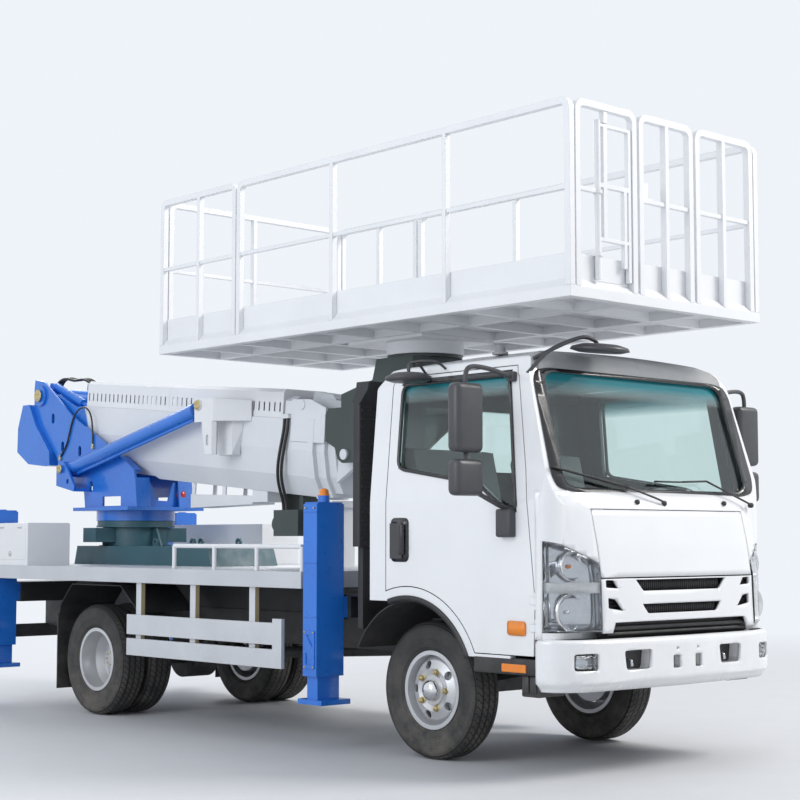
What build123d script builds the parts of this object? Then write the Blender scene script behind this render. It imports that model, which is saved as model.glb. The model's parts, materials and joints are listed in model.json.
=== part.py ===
# Cherry picker truck: a light cab-over truck that carries a slewing telescopic boom and a long work platform.
# Millimetres. X runs forward, Y to the left and Z up. The ground is at Z = 0 and Y = 0 is the middle of the truck.
import os
from math import atan2, cos, degrees, hypot, radians, sin, tan

from build123d import *

os.makedirs("parts", exist_ok=True)

# Axles and wheels
front_axle_x = 2200
wheelbase = 3360
rear_axle_x = front_axle_x - wheelbase
tyre_radius = 387.5
tyre_width = 200
bead_radius = 206
flange_radius = 222
rim_width = 140
flange_width = 6
rim_wall = 8
front_wheel_y = 665
king_pin_y = 565
rear_twin_y = 660
twin_spacing = 225
axle_z = tyre_radius
fit_gap = 0.3

# Chassis rails
rail_half = 340
rail_bottom = 550
rail_height = 210
rail_top = rail_bottom + rail_height
rail_flange = 65
rail_wall = 8
frame_rear = -2700
frame_front = 3120
low_front = 2780
low_top = 635
eye_x = 3240
eye_z = 597
eye_bore = 17

# Deck and what stands on it
deck_top = 1045
deck_depth = 100
deck_plate = 15
deck_rear = -2390
deck_front = 1340
deck_half = 1000
deck_bottom = deck_top - deck_depth

# Cab
cab_rear = 1880
cab_front = 3300
cab_half = 925
cab_wall = 45
cab_bottom = 600
cab_skirt = 890
arch_radius = 510
flare_radius = 585
door_gap = 5
glass_inset = 14
glass_thickness = 6

# Slewing turret
slew_x = -1970
ring_radius = 305
ring_bottom = 1344
ring_split = 1380
base_bottom = 1458
base_top = 1485
cheek_inner = 241
cheek_outer = 261

# Boom: its pivot, its droop at rest and its sections
pivot_x = -3003
pivot_z = 2416
boom_droop = 5.2
boom_length = 3540
boom_wall = 10
section_gap = 8

# Luffing cylinders
luff_y = 340
luff_base_x = -2410
luff_base_z = 1790
luff_eye_x = -557
luff_eye_z = 2190
luff_half = 55
luff_side_gap = 1.5
eye_radius = 60
lug_plate = 20

# Levelled head and work platform
head_pin_x = boom_length - 2670
head_pin_z = 1790
swivel_x = head_pin_x + 490
swivel_z = 2410
swivel_radius = 250
platform_length = 3800
platform_rear = swivel_x - 1800
platform_front = platform_rear + platform_length
platform_half = 830
platform_bottom = 2510
edge_top = 2567
ledge_top = 2611
ledge_width = 40
edge_width = 60
platform_floor = 2560
toe_top = 2750
toe_wall = 6
hoop_tube = 38
hoop_top = 3580
hoop_bend = 68
post_width = 30
mid_rail = (3085, 3109)
mid_tube = 24

# Outriggers
beam_size = 125
housing_size = 150
housing_z = rail_top + housing_size / 2
column_x_size = 127
column_inner_y = 790
column_top = 1450
column_bottom = 430
foot_bottom = 265
foot_thickness = 30


def span(side, near, far):
    # The lowest and highest Y of a piece that lies from near to far on one side of the truck.
    return (min(side * near, side * far), max(side * near, side * far))


def block(x, y, z, mode=Mode.ADD):
    with Locations(((x[0] + x[1]) / 2, (y[0] + y[1]) / 2, (z[0] + z[1]) / 2)):
        Box(x[1] - x[0], y[1] - y[0], z[1] - z[0], mode=mode)


def across(outline, y, mode=Mode.ADD):
    # A plate whose side view is the outline of (X, Z) points, from one Y to the other.
    with BuildSketch(Plane.XZ.offset(-y[1])) as face:
        with BuildLine():
            Polyline(*outline, close=True)
        make_face()
    extrude(face.sketch, amount=y[1] - y[0], mode=mode)


def along(outline, x, mode=Mode.ADD):
    # A bar whose front view is the outline of (Y, Z) points, from one X to the other.
    with BuildSketch(Plane.YZ.offset(x[0])) as face:
        with BuildLine():
            Polyline(*outline, close=True)
        make_face()
    extrude(face.sketch, amount=x[1] - x[0], mode=mode)


def pin(centre, y, radius, mode=Mode.ADD):
    # A round bar along Y through the (X, Z) centre.
    with BuildSketch(Plane.XZ.offset(-y[1])) as face:
        with Locations(centre):
            Circle(radius)
    extrude(face.sketch, amount=y[1] - y[0], mode=mode)


def upright(centre, z, radius, mode=Mode.ADD):
    # A round bar along Z at the (X, Y) centre.
    with BuildSketch(Plane.XY.offset(z[0])) as face:
        with Locations(centre):
            Circle(radius)
    extrude(face.sketch, amount=z[1] - z[0], mode=mode)


def bar(start, end, radius, mode=Mode.ADD):
    # A round bar from one point to another.
    reach = Vector(*end) - Vector(*start)
    with BuildSketch(Plane(origin=start, z_dir=reach)) as face:
        Circle(radius)
    extrude(face.sketch, amount=reach.length, mode=mode)


def bent_tube(points, radius, bend):
    # A round tube along the points, with each corner bent to a radius.
    with BuildLine() as path:
        FilletPolyline(*points, radius=bend)
    with BuildSketch(Plane(origin=path.line @ 0, z_dir=path.line % 0)) as section:
        Circle(radius)
    sweep(sections=section.sketch, path=path.line)


def slot(centre, y, width, height, mode=Mode.SUBTRACT):
    # An upright slot with round ends through a plate, at the (X, Z) centre.
    with BuildSketch(Plane.XZ.offset(-y[1])) as face:
        with Locations(centre):
            SlotOverall(height, width, rotation=90)
    extrude(face.sketch, amount=y[1] - y[0], mode=mode)


def hose(points, radius):
    # A hose along the points. Each bend is as large as the shorter of its two runs allows.
    route = [Vector(*point) for point in points]
    runs = [after - before for before, after in zip(route, route[1:])]
    radii = []
    for first, second in zip(runs, runs[1:]):
        half_turn = radians(first.get_angle(second)) / 2
        radii.append(0.45 * min(first.length, second.length) / tan(half_turn))
    with BuildLine() as path:
        FilletPolyline(*route, radius=radii)
    with BuildSketch(Plane(origin=path.line @ 0, z_dir=path.line % 0)) as section:
        Circle(radius)
    sweep(sections=section.sketch, path=path.line)
    length = sum(edge.length for edge in path.edges())
    print("hose", round(length), "mm long, section", round(2 * radius), "mm, smallest bend", round(min(radii)), "mm")


def turned(profile, x, y, side, mode=Mode.ADD):
    # A wheel form about the axle at x: (offset outwards from y, radius) points turned about Y.
    with BuildSketch(Plane.YZ.offset(x)) as face:
        with BuildLine():
            Polyline(*[(side * (y + out), axle_z + r) for out, r in profile], close=True)
        make_face()
    revolve(face.sketch, axis=Axis((x, 0, axle_z), (0, 1, 0)), mode=mode)


# Chassis: two channel rails, cross members, the raised sub-frame and the outrigger housings
# Columns: name, X of its centre, side
outrigger_rows = [("front_right", 1425, -1), ("front_left", 1580, 1),
                  ("rear_right", -2470, -1), ("rear_left", -2625, 1)]
cross_member_xs = (-2000, -600, 500, 1700)
sub_frame = (-2300, deck_front)
sub_beam = (280, 330)

with BuildPart() as frame_rails:
    for side in (1, -1):
        block((frame_rear, frame_front), span(side, rail_half - rail_flange, rail_half), (rail_bottom, rail_top))
        block((frame_rear, frame_front), span(side, rail_half - rail_flange, rail_half - rail_wall),
              (rail_bottom + rail_wall, rail_top - rail_wall), mode=Mode.SUBTRACT)
        block((low_front, frame_front), span(side, rail_half - rail_flange, rail_half), (low_top, rail_top),
              mode=Mode.SUBTRACT)
        # The low front length is a piece of its own, spliced on at the step
        block((low_front - 1, low_front), span(side, rail_half - rail_flange - 1, rail_half + 1),
              (rail_bottom - 1, rail_top + 1), mode=Mode.SUBTRACT)
    # Towing eyes on the rail ends, behind the openings in the bumper
    for side in (1, -1):
        eye_y = span(side, rail_half - rail_flange - 20, rail_half - rail_flange)
        block((frame_front - 70, eye_x), eye_y, (rail_bottom, eye_z + 35))
        pin((eye_x, eye_z), eye_y, 35)
        pin((eye_x, eye_z), eye_y, eye_bore, mode=Mode.SUBTRACT)
frame_rails.part.label = "frame_rails"
export_step(frame_rails.part, "parts/frame_rails.step")

with BuildPart() as cross_members:
    for side in (1, -1):
        block(sub_frame, span(side, *sub_beam), (rail_top, deck_bottom))
    for x in cross_member_xs:
        block((x - 30, x + 30), (-rail_half + rail_wall, rail_half - rail_wall), (rail_bottom + 40, rail_top - 40))
    block((frame_rear - 40, frame_rear), (-900, 900), (470, 570))
    for side in (1, -1):
        block((frame_rear - 40, frame_rear), span(side, rail_half - rail_flange, rail_half), (470, rail_top))
cross_members.part.label = "cross_members"
export_step(cross_members.part, "parts/cross_members.step")

with BuildPart() as outrigger_housings:
    for name, x, side in outrigger_rows:
        block((x - housing_size / 2, x + housing_size / 2), (-760, 760), (rail_top, rail_top + housing_size))
        block((x - beam_size / 2 - 0.5, x + beam_size / 2 + 0.5), (-770, 770),
              (housing_z - beam_size / 2 - 0.5, housing_z + beam_size / 2 + 0.5), mode=Mode.SUBTRACT)
outrigger_housings.part.label = "outrigger_housings"
export_step(outrigger_housings.part, "parts/outrigger_housings.step")


# Axles on their leaf springs
spring_y = (275, 340)


def leaf_spring(side, x, seat_z, half_length):
    # A stack of leaves that is thick over the axle, with its eyes under the rail.
    top = rail_bottom - 45
    across([(x - half_length, top), (x - 120, seat_z), (x + 120, seat_z), (x + half_length, top),
            (x + half_length, top + 12), (x + 120, seat_z + 42), (x - 120, seat_z + 42),
            (x - half_length, top + 12)], span(side, *spring_y))
    for end in (x - half_length, x + half_length):
        pin((end, top + 6), span(side, *spring_y), 22)
        block((end - 20, end + 20), span(side, *spring_y), (top + 6, rail_bottom))


beam_half = 37.5
axle_tube = 62
with BuildPart() as axles:
    block((front_axle_x - 35, front_axle_x + 35), (-king_pin_y, king_pin_y), (axle_z - beam_half, axle_z + beam_half))
    for side in (1, -1):
        upright((front_axle_x, side * king_pin_y), (axle_z - beam_half, axle_z + beam_half), 38)
        upright((front_axle_x, side * king_pin_y), (axle_z - beam_half, axle_z + beam_half), 20, mode=Mode.SUBTRACT)
        leaf_spring(side, front_axle_x, axle_z + beam_half, 560)
    pin((rear_axle_x, axle_z), (-440, 440), axle_tube)
    pin((rear_axle_x, axle_z), (-650, 650), 40)
    pin((rear_axle_x, axle_z), (-110, 110), 165)
    bar((rear_axle_x, 0, axle_z), (rear_axle_x + 260, 0, axle_z + 15), 70)
    bar((rear_axle_x + 250, 0, axle_z + 15), (front_axle_x - 560, 0, 560), 38)
    for side in (1, -1):
        block((rear_axle_x - 60, rear_axle_x + 60), span(side, *spring_y), (axle_z - 70, axle_z + axle_tube + 8))
        leaf_spring(side, rear_axle_x, axle_z + axle_tube + 8, 620)
axles.part.label = "axles"
export_step(axles.part, "parts/axles.step")


# Wheels. Each profile is a table of (offset outwards, radius) points.
half_width = tyre_width / 2
half_rim = rim_width / 2
tyre_profile = [(-68, bead_radius + fit_gap), (-69.7, 224), (-88, 245), (-half_width, 295), (-96, 350), (-84, 377),
                (-60, tyre_radius), (60, tyre_radius), (84, 377), (96, 350), (half_width, 295), (88, 245),
                (69.7, 224), (68, bead_radius + fit_gap)]
barrel_profile = [(-half_rim - flange_width, flange_radius), (-half_rim, flange_radius), (-half_rim, bead_radius),
                  (half_rim, bead_radius), (half_rim, flange_radius), (half_rim + flange_width, flange_radius),
                  (half_rim + flange_width, bead_radius - rim_wall), (-half_rim - flange_width, bead_radius - rim_wall)]
hub_bore = 32
spindle_bore = 40 + fit_gap
drum_radius = 150
front_disc = [(10, bead_radius - rim_wall), (48, 168), (66, 120), (56, 88), (66, 84), (66, 60), (96, 56), (100, 30),
              (100, 0), (20, 0), (20, hub_bore), (-54, hub_bore), (-54, drum_radius), (20, drum_radius),
              (24, 120), (40, 120), (38, 160), (0, bead_radius - rim_wall)]
vent_radius = 24
vent_circle = 145

for name, side in (("left", 1), ("right", -1)):
    with BuildPart() as front_tyre:
        turned(tyre_profile, front_axle_x, front_wheel_y, side)
    front_tyre.part.label = f"front_tyre_{name}"
    export_step(front_tyre.part, f"parts/front_tyre_{name}.step")

    with BuildPart() as front_wheel:
        turned(barrel_profile, front_axle_x, front_wheel_y, side)
        turned(front_disc, front_axle_x, front_wheel_y, side)
        for turn in range(5):
            angle = radians(72 * turn + 36)
            pin((front_axle_x + vent_circle * cos(angle), axle_z + vent_circle * sin(angle)),
                span(side, front_wheel_y + 22, front_wheel_y + 90), vent_radius, mode=Mode.SUBTRACT)
    front_wheel.part.label = f"front_wheel_{name}"
    export_step(front_wheel.part, f"parts/front_wheel_{name}.step")

    # The knuckle: a fork on the king pin, with the spindle that carries the hub.
    with BuildPart() as front_knuckle:
        upright((front_axle_x, side * king_pin_y), (axle_z - 78, axle_z - beam_half - fit_gap), 34)
        upright((front_axle_x, side * king_pin_y), (axle_z + beam_half + fit_gap, axle_z + 78), 34)
        upright((front_axle_x, side * king_pin_y), (axle_z - 78, axle_z + 78), 20 - fit_gap)
        block((front_axle_x - 30, front_axle_x + 30), span(side, king_pin_y, king_pin_y + 44),
              (axle_z - 78, axle_z - beam_half - fit_gap))
        block((front_axle_x - 30, front_axle_x + 30), span(side, king_pin_y, king_pin_y + 44),
              (axle_z + beam_half + fit_gap, axle_z + 78))
        block((front_axle_x - 30, front_axle_x + 30), span(side, king_pin_y + 39, king_pin_y + 44),
              (axle_z - 78, axle_z + 78))
        pin((front_axle_x, axle_z), span(side, king_pin_y + 39, front_wheel_y + 19), hub_bore - fit_gap)
    front_knuckle.part.label = f"knuckle_{name}"
    export_step(front_knuckle.part, f"parts/knuckle_{name}.step")

    # The twin rear wheels are bolted back to back, so the outer one shows a deep dish.
    with BuildPart() as rear_tyre:
        turned(tyre_profile, rear_axle_x, rear_twin_y - twin_spacing / 2, side)
        turned(tyre_profile, rear_axle_x, rear_twin_y + twin_spacing / 2, side)
    rear_tyre.part.label = f"rear_tyres_{name}"
    export_step(rear_tyre.part, f"parts/rear_tyres_{name}.step")

    with BuildPart() as rear_wheel:
        turned(barrel_profile, rear_axle_x, rear_twin_y - twin_spacing / 2, side)
        turned(barrel_profile, rear_axle_x, rear_twin_y + twin_spacing / 2, side)
        turned([(-50, bead_radius - rim_wall), (0, 165), (0, spindle_bore), (-190, spindle_bore), (-190, drum_radius),
                (-12, drum_radius), (-12, 165), (-70, bead_radius - rim_wall)], rear_axle_x, rear_twin_y, side)
        turned([(70, bead_radius - rim_wall), (12, 165), (12, 105), (60, 95), (70, 60), (70, 0), (-8, 0),
                (-8, spindle_bore), (0, spindle_bore), (0, 165), (50, bead_radius - rim_wall)],
               rear_axle_x, rear_twin_y, side)
        for turn in range(5):
            angle = radians(72 * turn + 18)
            pin((rear_axle_x + vent_circle * cos(angle), axle_z + vent_circle * sin(angle)),
                span(side, rear_twin_y - 22, rear_twin_y + 90), vent_radius - 3, mode=Mode.SUBTRACT)
    rear_wheel.part.label = f"rear_wheels_{name}"
    export_step(rear_wheel.part, f"parts/rear_wheels_{name}.step")

# Engine under the cab, and the fuel tank beside the rails
with BuildPart() as engine_block:
    block((1960, 2740), (-230, 230), (500, 960))
    for x in (2250, 2600):
        block((x - 30, x + 30), (-rail_half + rail_wall + fit_gap, rail_half - rail_wall - fit_gap), (590, 630))
engine_block.part.label = "engine_block"
export_step(engine_block.part, "parts/engine_block.step")

with BuildPart() as fuel_tank:
    block((150, 850), (rail_half, 700), (520, 820))
    fillet(fuel_tank.edges().filter_by(Axis.X), 45)
fuel_tank.part.label = "fuel_tank"
export_step(fuel_tank.part, "parts/fuel_tank.step")


# Cab: one outside form, drawn in for the wall and for the glass, then split where the panels meet
def cab_form(inset):
    # The side view, front view and plan of the cab, each drawn in by inset, run through each other.
    plan_half = cab_half + 6
    with BuildPart() as form:
        with BuildSketch(Plane.XZ.offset(-cab_half - 50)) as side_view:
            with BuildLine():
                Polyline((cab_rear, 500), (cab_rear, 2110), (1945, 2215), (2400, 2285), (2850, 2290), (3050, 2215),
                         (3085, 2150), (3272, 1495), (cab_front, 1400), (3312, 1050), (cab_front, 500), close=True)
            make_face()
            fillet(side_view.vertices().filter_by(lambda corner: corner.Y > 2000), 40)
            if inset:
                offset(amount=-inset)
        extrude(side_view.sketch, amount=2 * cab_half + 100)
        with BuildSketch(Plane.YZ.offset(cab_rear - 50)) as front_view:
            with BuildLine():
                Polyline((-cab_half, 500), (-cab_half, 1450), (-865, 2120), (-800, 2225), (-550, 2280), (550, 2280),
                         (800, 2225), (865, 2120), (cab_half, 1450), (cab_half, 500), close=True)
            make_face()
            fillet(front_view.vertices().filter_by(lambda corner: corner.Y > 2000), 40)
            if inset:
                offset(amount=-inset)
        extrude(front_view.sketch, amount=1600, mode=Mode.INTERSECT)
        with BuildSketch(Plane.XY.offset(400)) as plan:
            with BuildLine():
                Polyline((3288, plan_half), (cab_rear - 50, plan_half), (cab_rear - 50, -plan_half), (3288, -plan_half))
                ThreePointArc((3288, -plan_half), (3318, 0), (3288, plan_half))
            make_face()
            fillet(plan.vertices().filter_by(lambda corner: corner.X > 3000), 110)
            if inset:
                offset(amount=-inset)
        extrude(plan.sketch, amount=2100, mode=Mode.INTERSECT)
    return form.part


def door_outline(inset):
    # The door follows the wheel arch's flare behind, and its front edge leans with the windscreen pillar.
    with BuildSketch(Plane.XZ) as outline:
        with BuildLine():
            Polyline((2015, 2175), (2015, 629), (3172, 629), (3182, 926), (3110, 1602), (3022, 2110), (2980, 2175),
                     close=True)
        make_face()
        with Locations((front_axle_x, axle_z)):
            Circle(flare_radius, mode=Mode.SUBTRACT)
        if inset:
            offset(amount=-inset)
    return outline.sketch


door_window = [(2105, 2120), (2105, 1640), (2500, 1580), (2760, 1540), (2900, 1440), (3052, 1380), (2952, 2120)]
windscreen_outline = [(-800, 1525), (-775, 2120), (-700, 2150), (700, 2150), (775, 2120), (800, 1525), (720, 1500),
                      (-720, 1500)]
rear_window_outline = [(-520, 1650), (-520, 2020), (520, 2020), (520, 1650)]
lamp_outline = [(530, 757), (530, 1130), (620, 1165), (940, 1235), (940, 757)]
lid_half = 522
lid_bottom = 1018
lid_top = 1437
grille_bottom = 722
lid_hinge = (3305, 1437)
lid_hinge_ys = (-300, 300)
front_zone = (3222, 3400)
# Each door turns on two hinges at its front edge. Columns: lowest and highest Z of the door's knuckles
hinge_x = 3186
hinge_y = cab_half + 2
hinge_radius = 7
hinge_rows = ((760, 800), (900, 940))
cab_outside = cab_form(0)
cab_inside = cab_form(cab_wall)
with BuildPart() as cab_skin:
    add(cab_outside)
    add(cab_inside, mode=Mode.SUBTRACT)
    block((cab_rear + cab_wall, 3255), (-cab_half + cab_wall, cab_half - cab_wall), (450, 700), mode=Mode.SUBTRACT)

with BuildPart() as cab_shell:
    add(cab_skin.part)
    block((cab_rear - 10, 2180), (-1000, 1000), (400, cab_skirt), mode=Mode.SUBTRACT)
    block((2100, 3190), (-1000, 1000), (400, 612), mode=Mode.SUBTRACT)
    block((3000, 3400), (-1000, 1000), (400, grille_bottom), mode=Mode.SUBTRACT)
    pin((front_axle_x, axle_z), (-1000, 1000), arch_radius, mode=Mode.SUBTRACT)
    for side in (1, -1):
        with BuildSketch(Plane.XZ.offset(-max(span(side, 760, 1000)))) as opening:
            add(door_outline(0))
        extrude(opening.sketch, amount=240, mode=Mode.SUBTRACT)
        along([(side * y, z) for y, z in lamp_outline], front_zone, mode=Mode.SUBTRACT)
    along(windscreen_outline, (2960, 3400), mode=Mode.SUBTRACT)
    along(rear_window_outline, (cab_rear - 10, cab_rear + 100), mode=Mode.SUBTRACT)
    block(front_zone, (-lid_half, lid_half), (grille_bottom - 10, lid_top), mode=Mode.SUBTRACT)
    for side in (1, -1):
        for low, high in hinge_rows:
            block((hinge_x - 45, hinge_x + 10), span(side, hinge_y - 10, hinge_y + 20), (low - 1, high + 1),
                  mode=Mode.SUBTRACT)
            upright((hinge_x, side * hinge_y), (low - 26, low - 1), hinge_radius)
            upright((hinge_x, side * hinge_y), (high + 1, high + 26), hinge_radius)
    # The front lid's hinges: lugs on the cab that hold a pin in the lid's barrels
    for y in lid_hinge_ys:
        for lug_y in (y - 37, y + 29):
            block((3270, lid_hinge[0]), (lug_y, lug_y + 8), (lid_hinge[1] + 2, lid_hinge[1] + 12))
            pin(lid_hinge, (lug_y, lug_y + 8), 10)
        pin(lid_hinge, (y - 37, y + 37), 5)
cab_shell.part.label = "cab_shell"
export_step(cab_shell.part, "parts/cab_shell.step")

with BuildPart() as glass_skin:
    add(cab_form(glass_inset))
    add(cab_form(glass_inset + glass_thickness), mode=Mode.SUBTRACT)


def drawn_in(outline, amount):
    # The face inside an outline, drawn in by amount, for a pane that fits its frame.
    with BuildSketch(Plane.XY) as face:
        with BuildLine():
            Polyline(*outline, close=True)
        make_face()
        offset(amount=-amount)
    return face.sketch


with BuildPart() as cab_glass:
    with BuildSketch(Plane.YZ.offset(2960)) as front_pane:
        add(drawn_in(windscreen_outline, fit_gap))
    extrude(front_pane.sketch, amount=440)
    with BuildSketch(Plane.YZ.offset(cab_rear - 10)) as rear_pane:
        add(drawn_in(rear_window_outline, fit_gap))
    extrude(rear_pane.sketch, amount=110)
    add(glass_skin.part, mode=Mode.INTERSECT)
cab_glass.part.label = "cab_glass"
export_step(cab_glass.part, "parts/cab_glass.step")

handle_x = (2070, 2170)
handle_z = (1130, 1330)
mirror_x = (2915, 3005)
mirror_y = (1110, 1310)
for name, side in (("left", 1), ("right", -1)):
    with BuildPart() as door:
        with BuildSketch(Plane.XZ.offset(-max(span(side, 760, 1000)))) as leaf:
            add(door_outline(door_gap))
        extrude(leaf.sketch, amount=240)
        add(cab_skin.part, mode=Mode.INTERSECT)
        across(door_window, span(side, 700, 1000), mode=Mode.SUBTRACT)
        block(handle_x, span(side, cab_half - 20, cab_half + 18), handle_z)
        for low, high in hinge_rows:
            block((hinge_x - 40, hinge_x), span(side, hinge_y - 7, hinge_y + 3), (low, high))
            upright((hinge_x, side * hinge_y), (low, high), hinge_radius)
    door.part.label = f"door_{name}"
    export_step(door.part, f"parts/door_{name}.step")

    with BuildPart() as door_glass:
        with BuildSketch(Plane.XZ.offset(-max(span(side, 760, 1000)))) as pane:
            add(drawn_in(door_window, fit_gap))
        extrude(pane.sketch, amount=240)
        add(glass_skin.part, mode=Mode.INTERSECT)
    door_glass.part.label = f"door_glass_{name}"
    export_step(door_glass.part, f"parts/door_glass_{name}.step")

    # A large mirror over a small one, on a tube that stands out from the door's front edge.
    mirror_mid = (sum(mirror_x) / 2, side * sum(mirror_y) / 2)
    with BuildPart() as mirrors:
        block(mirror_x, span(side, *mirror_y), (1690, 2055))
        block(mirror_x, span(side, *mirror_y), (1465, 1655))
        fillet(mirrors.edges().filter_by(Axis.Z), 30)
        tube_x = mirror_mid[0] + 10
        bar((tube_x, mirror_mid[1], 1420), (tube_x, mirror_mid[1], 2150), 14)
        bar((tube_x, mirror_mid[1], 2150), (2975, side * 905, 2130), 14)
        bar((tube_x, mirror_mid[1], 1420), (3040, side * 960, 1230), 14)
        block((2990, 3090), span(side, cab_half + fit_gap, cab_half + 60), (1140, 1270))
    mirrors.part.label = f"mirrors_{name}"
    export_step(mirrors.part, f"parts/mirrors_{name}.step")

with BuildPart() as front_lid:
    block(front_zone, (-lid_half + door_gap, lid_half - door_gap), (lid_bottom, lid_top - door_gap))
    add(cab_skin.part, mode=Mode.INTERSECT)
    for y in lid_hinge_ys:
        block((3270, lid_hinge[0] + 6), (y - 28, y + 28), (lid_hinge[1] - 22, lid_hinge[1] - 7))
        pin(lid_hinge, (y - 28, y + 28), 10)
        pin(lid_hinge, (y - 29, y + 29), 5 + fit_gap, mode=Mode.SUBTRACT)
front_lid.part.label = "front_lid"
export_step(front_lid.part, "parts/front_lid.step")

# Columns: bottom, top and half length of each slot in the grille panel
grille_slots = ((950, 985, 400), (880, 905, 400), (800, 830, 440), (738, 790, 490))
with BuildPart() as grille_panel:
    block(front_zone, (-lid_half + fit_gap, lid_half - fit_gap), (grille_bottom, lid_bottom - door_gap))
    add(cab_skin.part, mode=Mode.INTERSECT)
    for low, high, half in grille_slots:
        block((3200, 3400), (-half, half), (low, high), mode=Mode.SUBTRACT)
grille_panel.part.label = "grille_panel"
export_step(grille_panel.part, "parts/grille_panel.step")

with BuildPart() as headlamps:
    for side in (1, -1):
        with BuildSketch(Plane.YZ.offset(front_zone[0])) as lamp_face:
            add(drawn_in([(side * y, z) for y, z in lamp_outline], 2))
        extrude(lamp_face.sketch, amount=180)
    add(cab_outside, mode=Mode.INTERSECT)
    add(cab_form(75), mode=Mode.SUBTRACT)
headlamps.part.label = "headlamps"
export_step(headlamps.part, "parts/headlamps.step")

# Bumper: a hollow bar that wraps round both front corners
bumper_bottom = 454
bumper_top = 718
bumper_rear = 3190
with BuildPart() as front_bumper:
    with BuildSketch(Plane.XY.offset(bumper_bottom)) as bumper_plan:
        with BuildLine():
            Polyline((3318, 935), (bumper_rear, 935), (bumper_rear, -935), (3318, -935))
            ThreePointArc((3318, -935), (3340, 0), (3318, 935))
        make_face()
        fillet(bumper_plan.vertices().filter_by(lambda corner: corner.X > 3200), 100)
    extrude(bumper_plan.sketch, amount=bumper_top - bumper_bottom)
    block((3100, 3285), (-900, 900), (bumper_bottom - 5, bumper_top + 5), mode=Mode.SUBTRACT)
    for side in (1, -1):
        block((3050, 3290), span(side, rail_half + fit_gap, rail_half + 12), (560, 630))
    for y, half_y in ((-680, 95), (680, 95), (-240, 95), (240, 95)):
        block((3270, 3400), (y - half_y, y + half_y), (548, 645), mode=Mode.SUBTRACT)
    for y in (-60, 60):
        block((3270, 3400), (y - 28, y + 28), (535, 600), mode=Mode.SUBTRACT)
front_bumper.part.label = "front_bumper"
export_step(front_bumper.part, "parts/front_bumper.step")

# Floor: seat platform over the engine, foot well, front bulkhead, wheel arch liners, sills and steps
floor_half = cab_half - cab_wall - fit_gap
with BuildPart() as cab_floor:
    block((cab_rear + cab_wall + fit_gap, 2810), (-floor_half, floor_half), (1000, 1020))
    block((2790, 2810), (-floor_half, floor_half), (640, 1000))
    block((2810, 3200), (-floor_half, floor_half), (640, 660))
    block((3196, 3216), (-floor_half + 60, floor_half - 60), (640, 1440))
    for side in (1, -1):
        block((2770, 3140), span(side, 700, 915), (545, 610))
        block((2770, 3140), span(side, 700, 720), (610, 640))
        pin((front_axle_x, axle_z), span(side, 420, 900), arch_radius - fit_gap)
        pin((front_axle_x, axle_z), span(side, 410, 905), arch_radius - 8, mode=Mode.SUBTRACT)
        block((1600, 2790), span(side, 400, 910), (-200, 612), mode=Mode.SUBTRACT)
        block((2190, 2210), span(side, 420, 860), (895, 1000))
    for x in (1980, 2700):
        for side in (1, -1):
            block((x - 40, x + 40), span(side, 260, 330), (rail_top, 1000))
cab_floor.part.label = "cab_floor"
export_step(cab_floor.part, "parts/cab_floor.step")

with BuildPart() as cab_interior:
    for side, near, far in ((1, 190, 720), (-1, 60, 720)):
        with BuildSketch(Plane.XZ.offset(-max(span(side, near, far)))) as seat:
            with BuildLine():
                Polyline((1990, 1020), (2480, 1020), (2540, 1100), (2520, 1170), (2180, 1150), (2030, 1760),
                         (1960, 1770), (1935, 1700), (2040, 1150), close=True)
            make_face()
        extrude(seat.sketch, amount=far - near)
    across([(3195.7, 1150), (3195.7, 1430), (3120, 1450), (2930, 1380), (2900, 1300), (2960, 1150)], (-810, 810))
    bar((2960, 420, 1250), (2790, 420, 1395), 30)
    with BuildSketch(Plane(origin=(2785, 420, 1400), z_dir=(-0.62, 0, 0.78))) as wheel_face:
        Circle(205)
        Circle(180, mode=Mode.SUBTRACT)
        Rectangle(380, 34)
    extrude(wheel_face.sketch, amount=12, both=True)
cab_interior.part.label = "cab_interior"
export_step(cab_interior.part, "parts/cab_interior.step")

# Upright air intake behind the cab
with BuildPart() as air_intake:
    block((1690, 1754), (-900, -680), (1196, 2060))
    fillet(air_intake.edges().filter_by(Axis.Z), 14)
    across([(1690, 2050), (1722, 2105), (1730, 2162), (1842, 2162), (1826, 2110), (1754, 2030)], (-900, -680))
    across([(1700, 2060), (1740, 2110), (1740, 2170), (1834, 2170), (1818, 2110), (1744, 2060)], (-890, -690),
           mode=Mode.SUBTRACT)
    block((1690, 1754), (-900, -680), (2040, 2060))
    for step in range(16):
        z = 1240 + 50 * step
        block((1740, 1760), (-880, -700), (z, z + 14))
    block((1700, 1744), (-860, -720), (770, 1196))
    block((1700, 1744), (-860, -340), (rail_top - 40, rail_top + 60))
air_intake.part.label = "air_intake"
export_step(air_intake.part, "parts/air_intake.step")

# Deck: plate on side channels and cross beams
with BuildPart() as deck:
    block((deck_rear, deck_front), (-deck_half, deck_half), (deck_top - deck_plate, deck_top))
    for side in (1, -1):
        block((deck_rear, deck_front), span(side, deck_half - 60, deck_half), (deck_bottom, deck_top))
        block((deck_rear, deck_front), span(side, deck_half - 60, deck_half - 10), (deck_bottom + 10, deck_top - 10),
              mode=Mode.SUBTRACT)
        block((deck_rear, deck_front), span(side, deck_half - 60, deck_half), (deck_top - deck_plate, deck_top))
    for x in (deck_rear + 30, -1750, -1160, -560, 40, 640, deck_front - 30):
        block((x - 30, x + 30), (-deck_half + 10, deck_half - 10), (deck_bottom, deck_top - deck_plate))
deck.part.label = "deck"
export_step(deck.part, "parts/deck.step")

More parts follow.
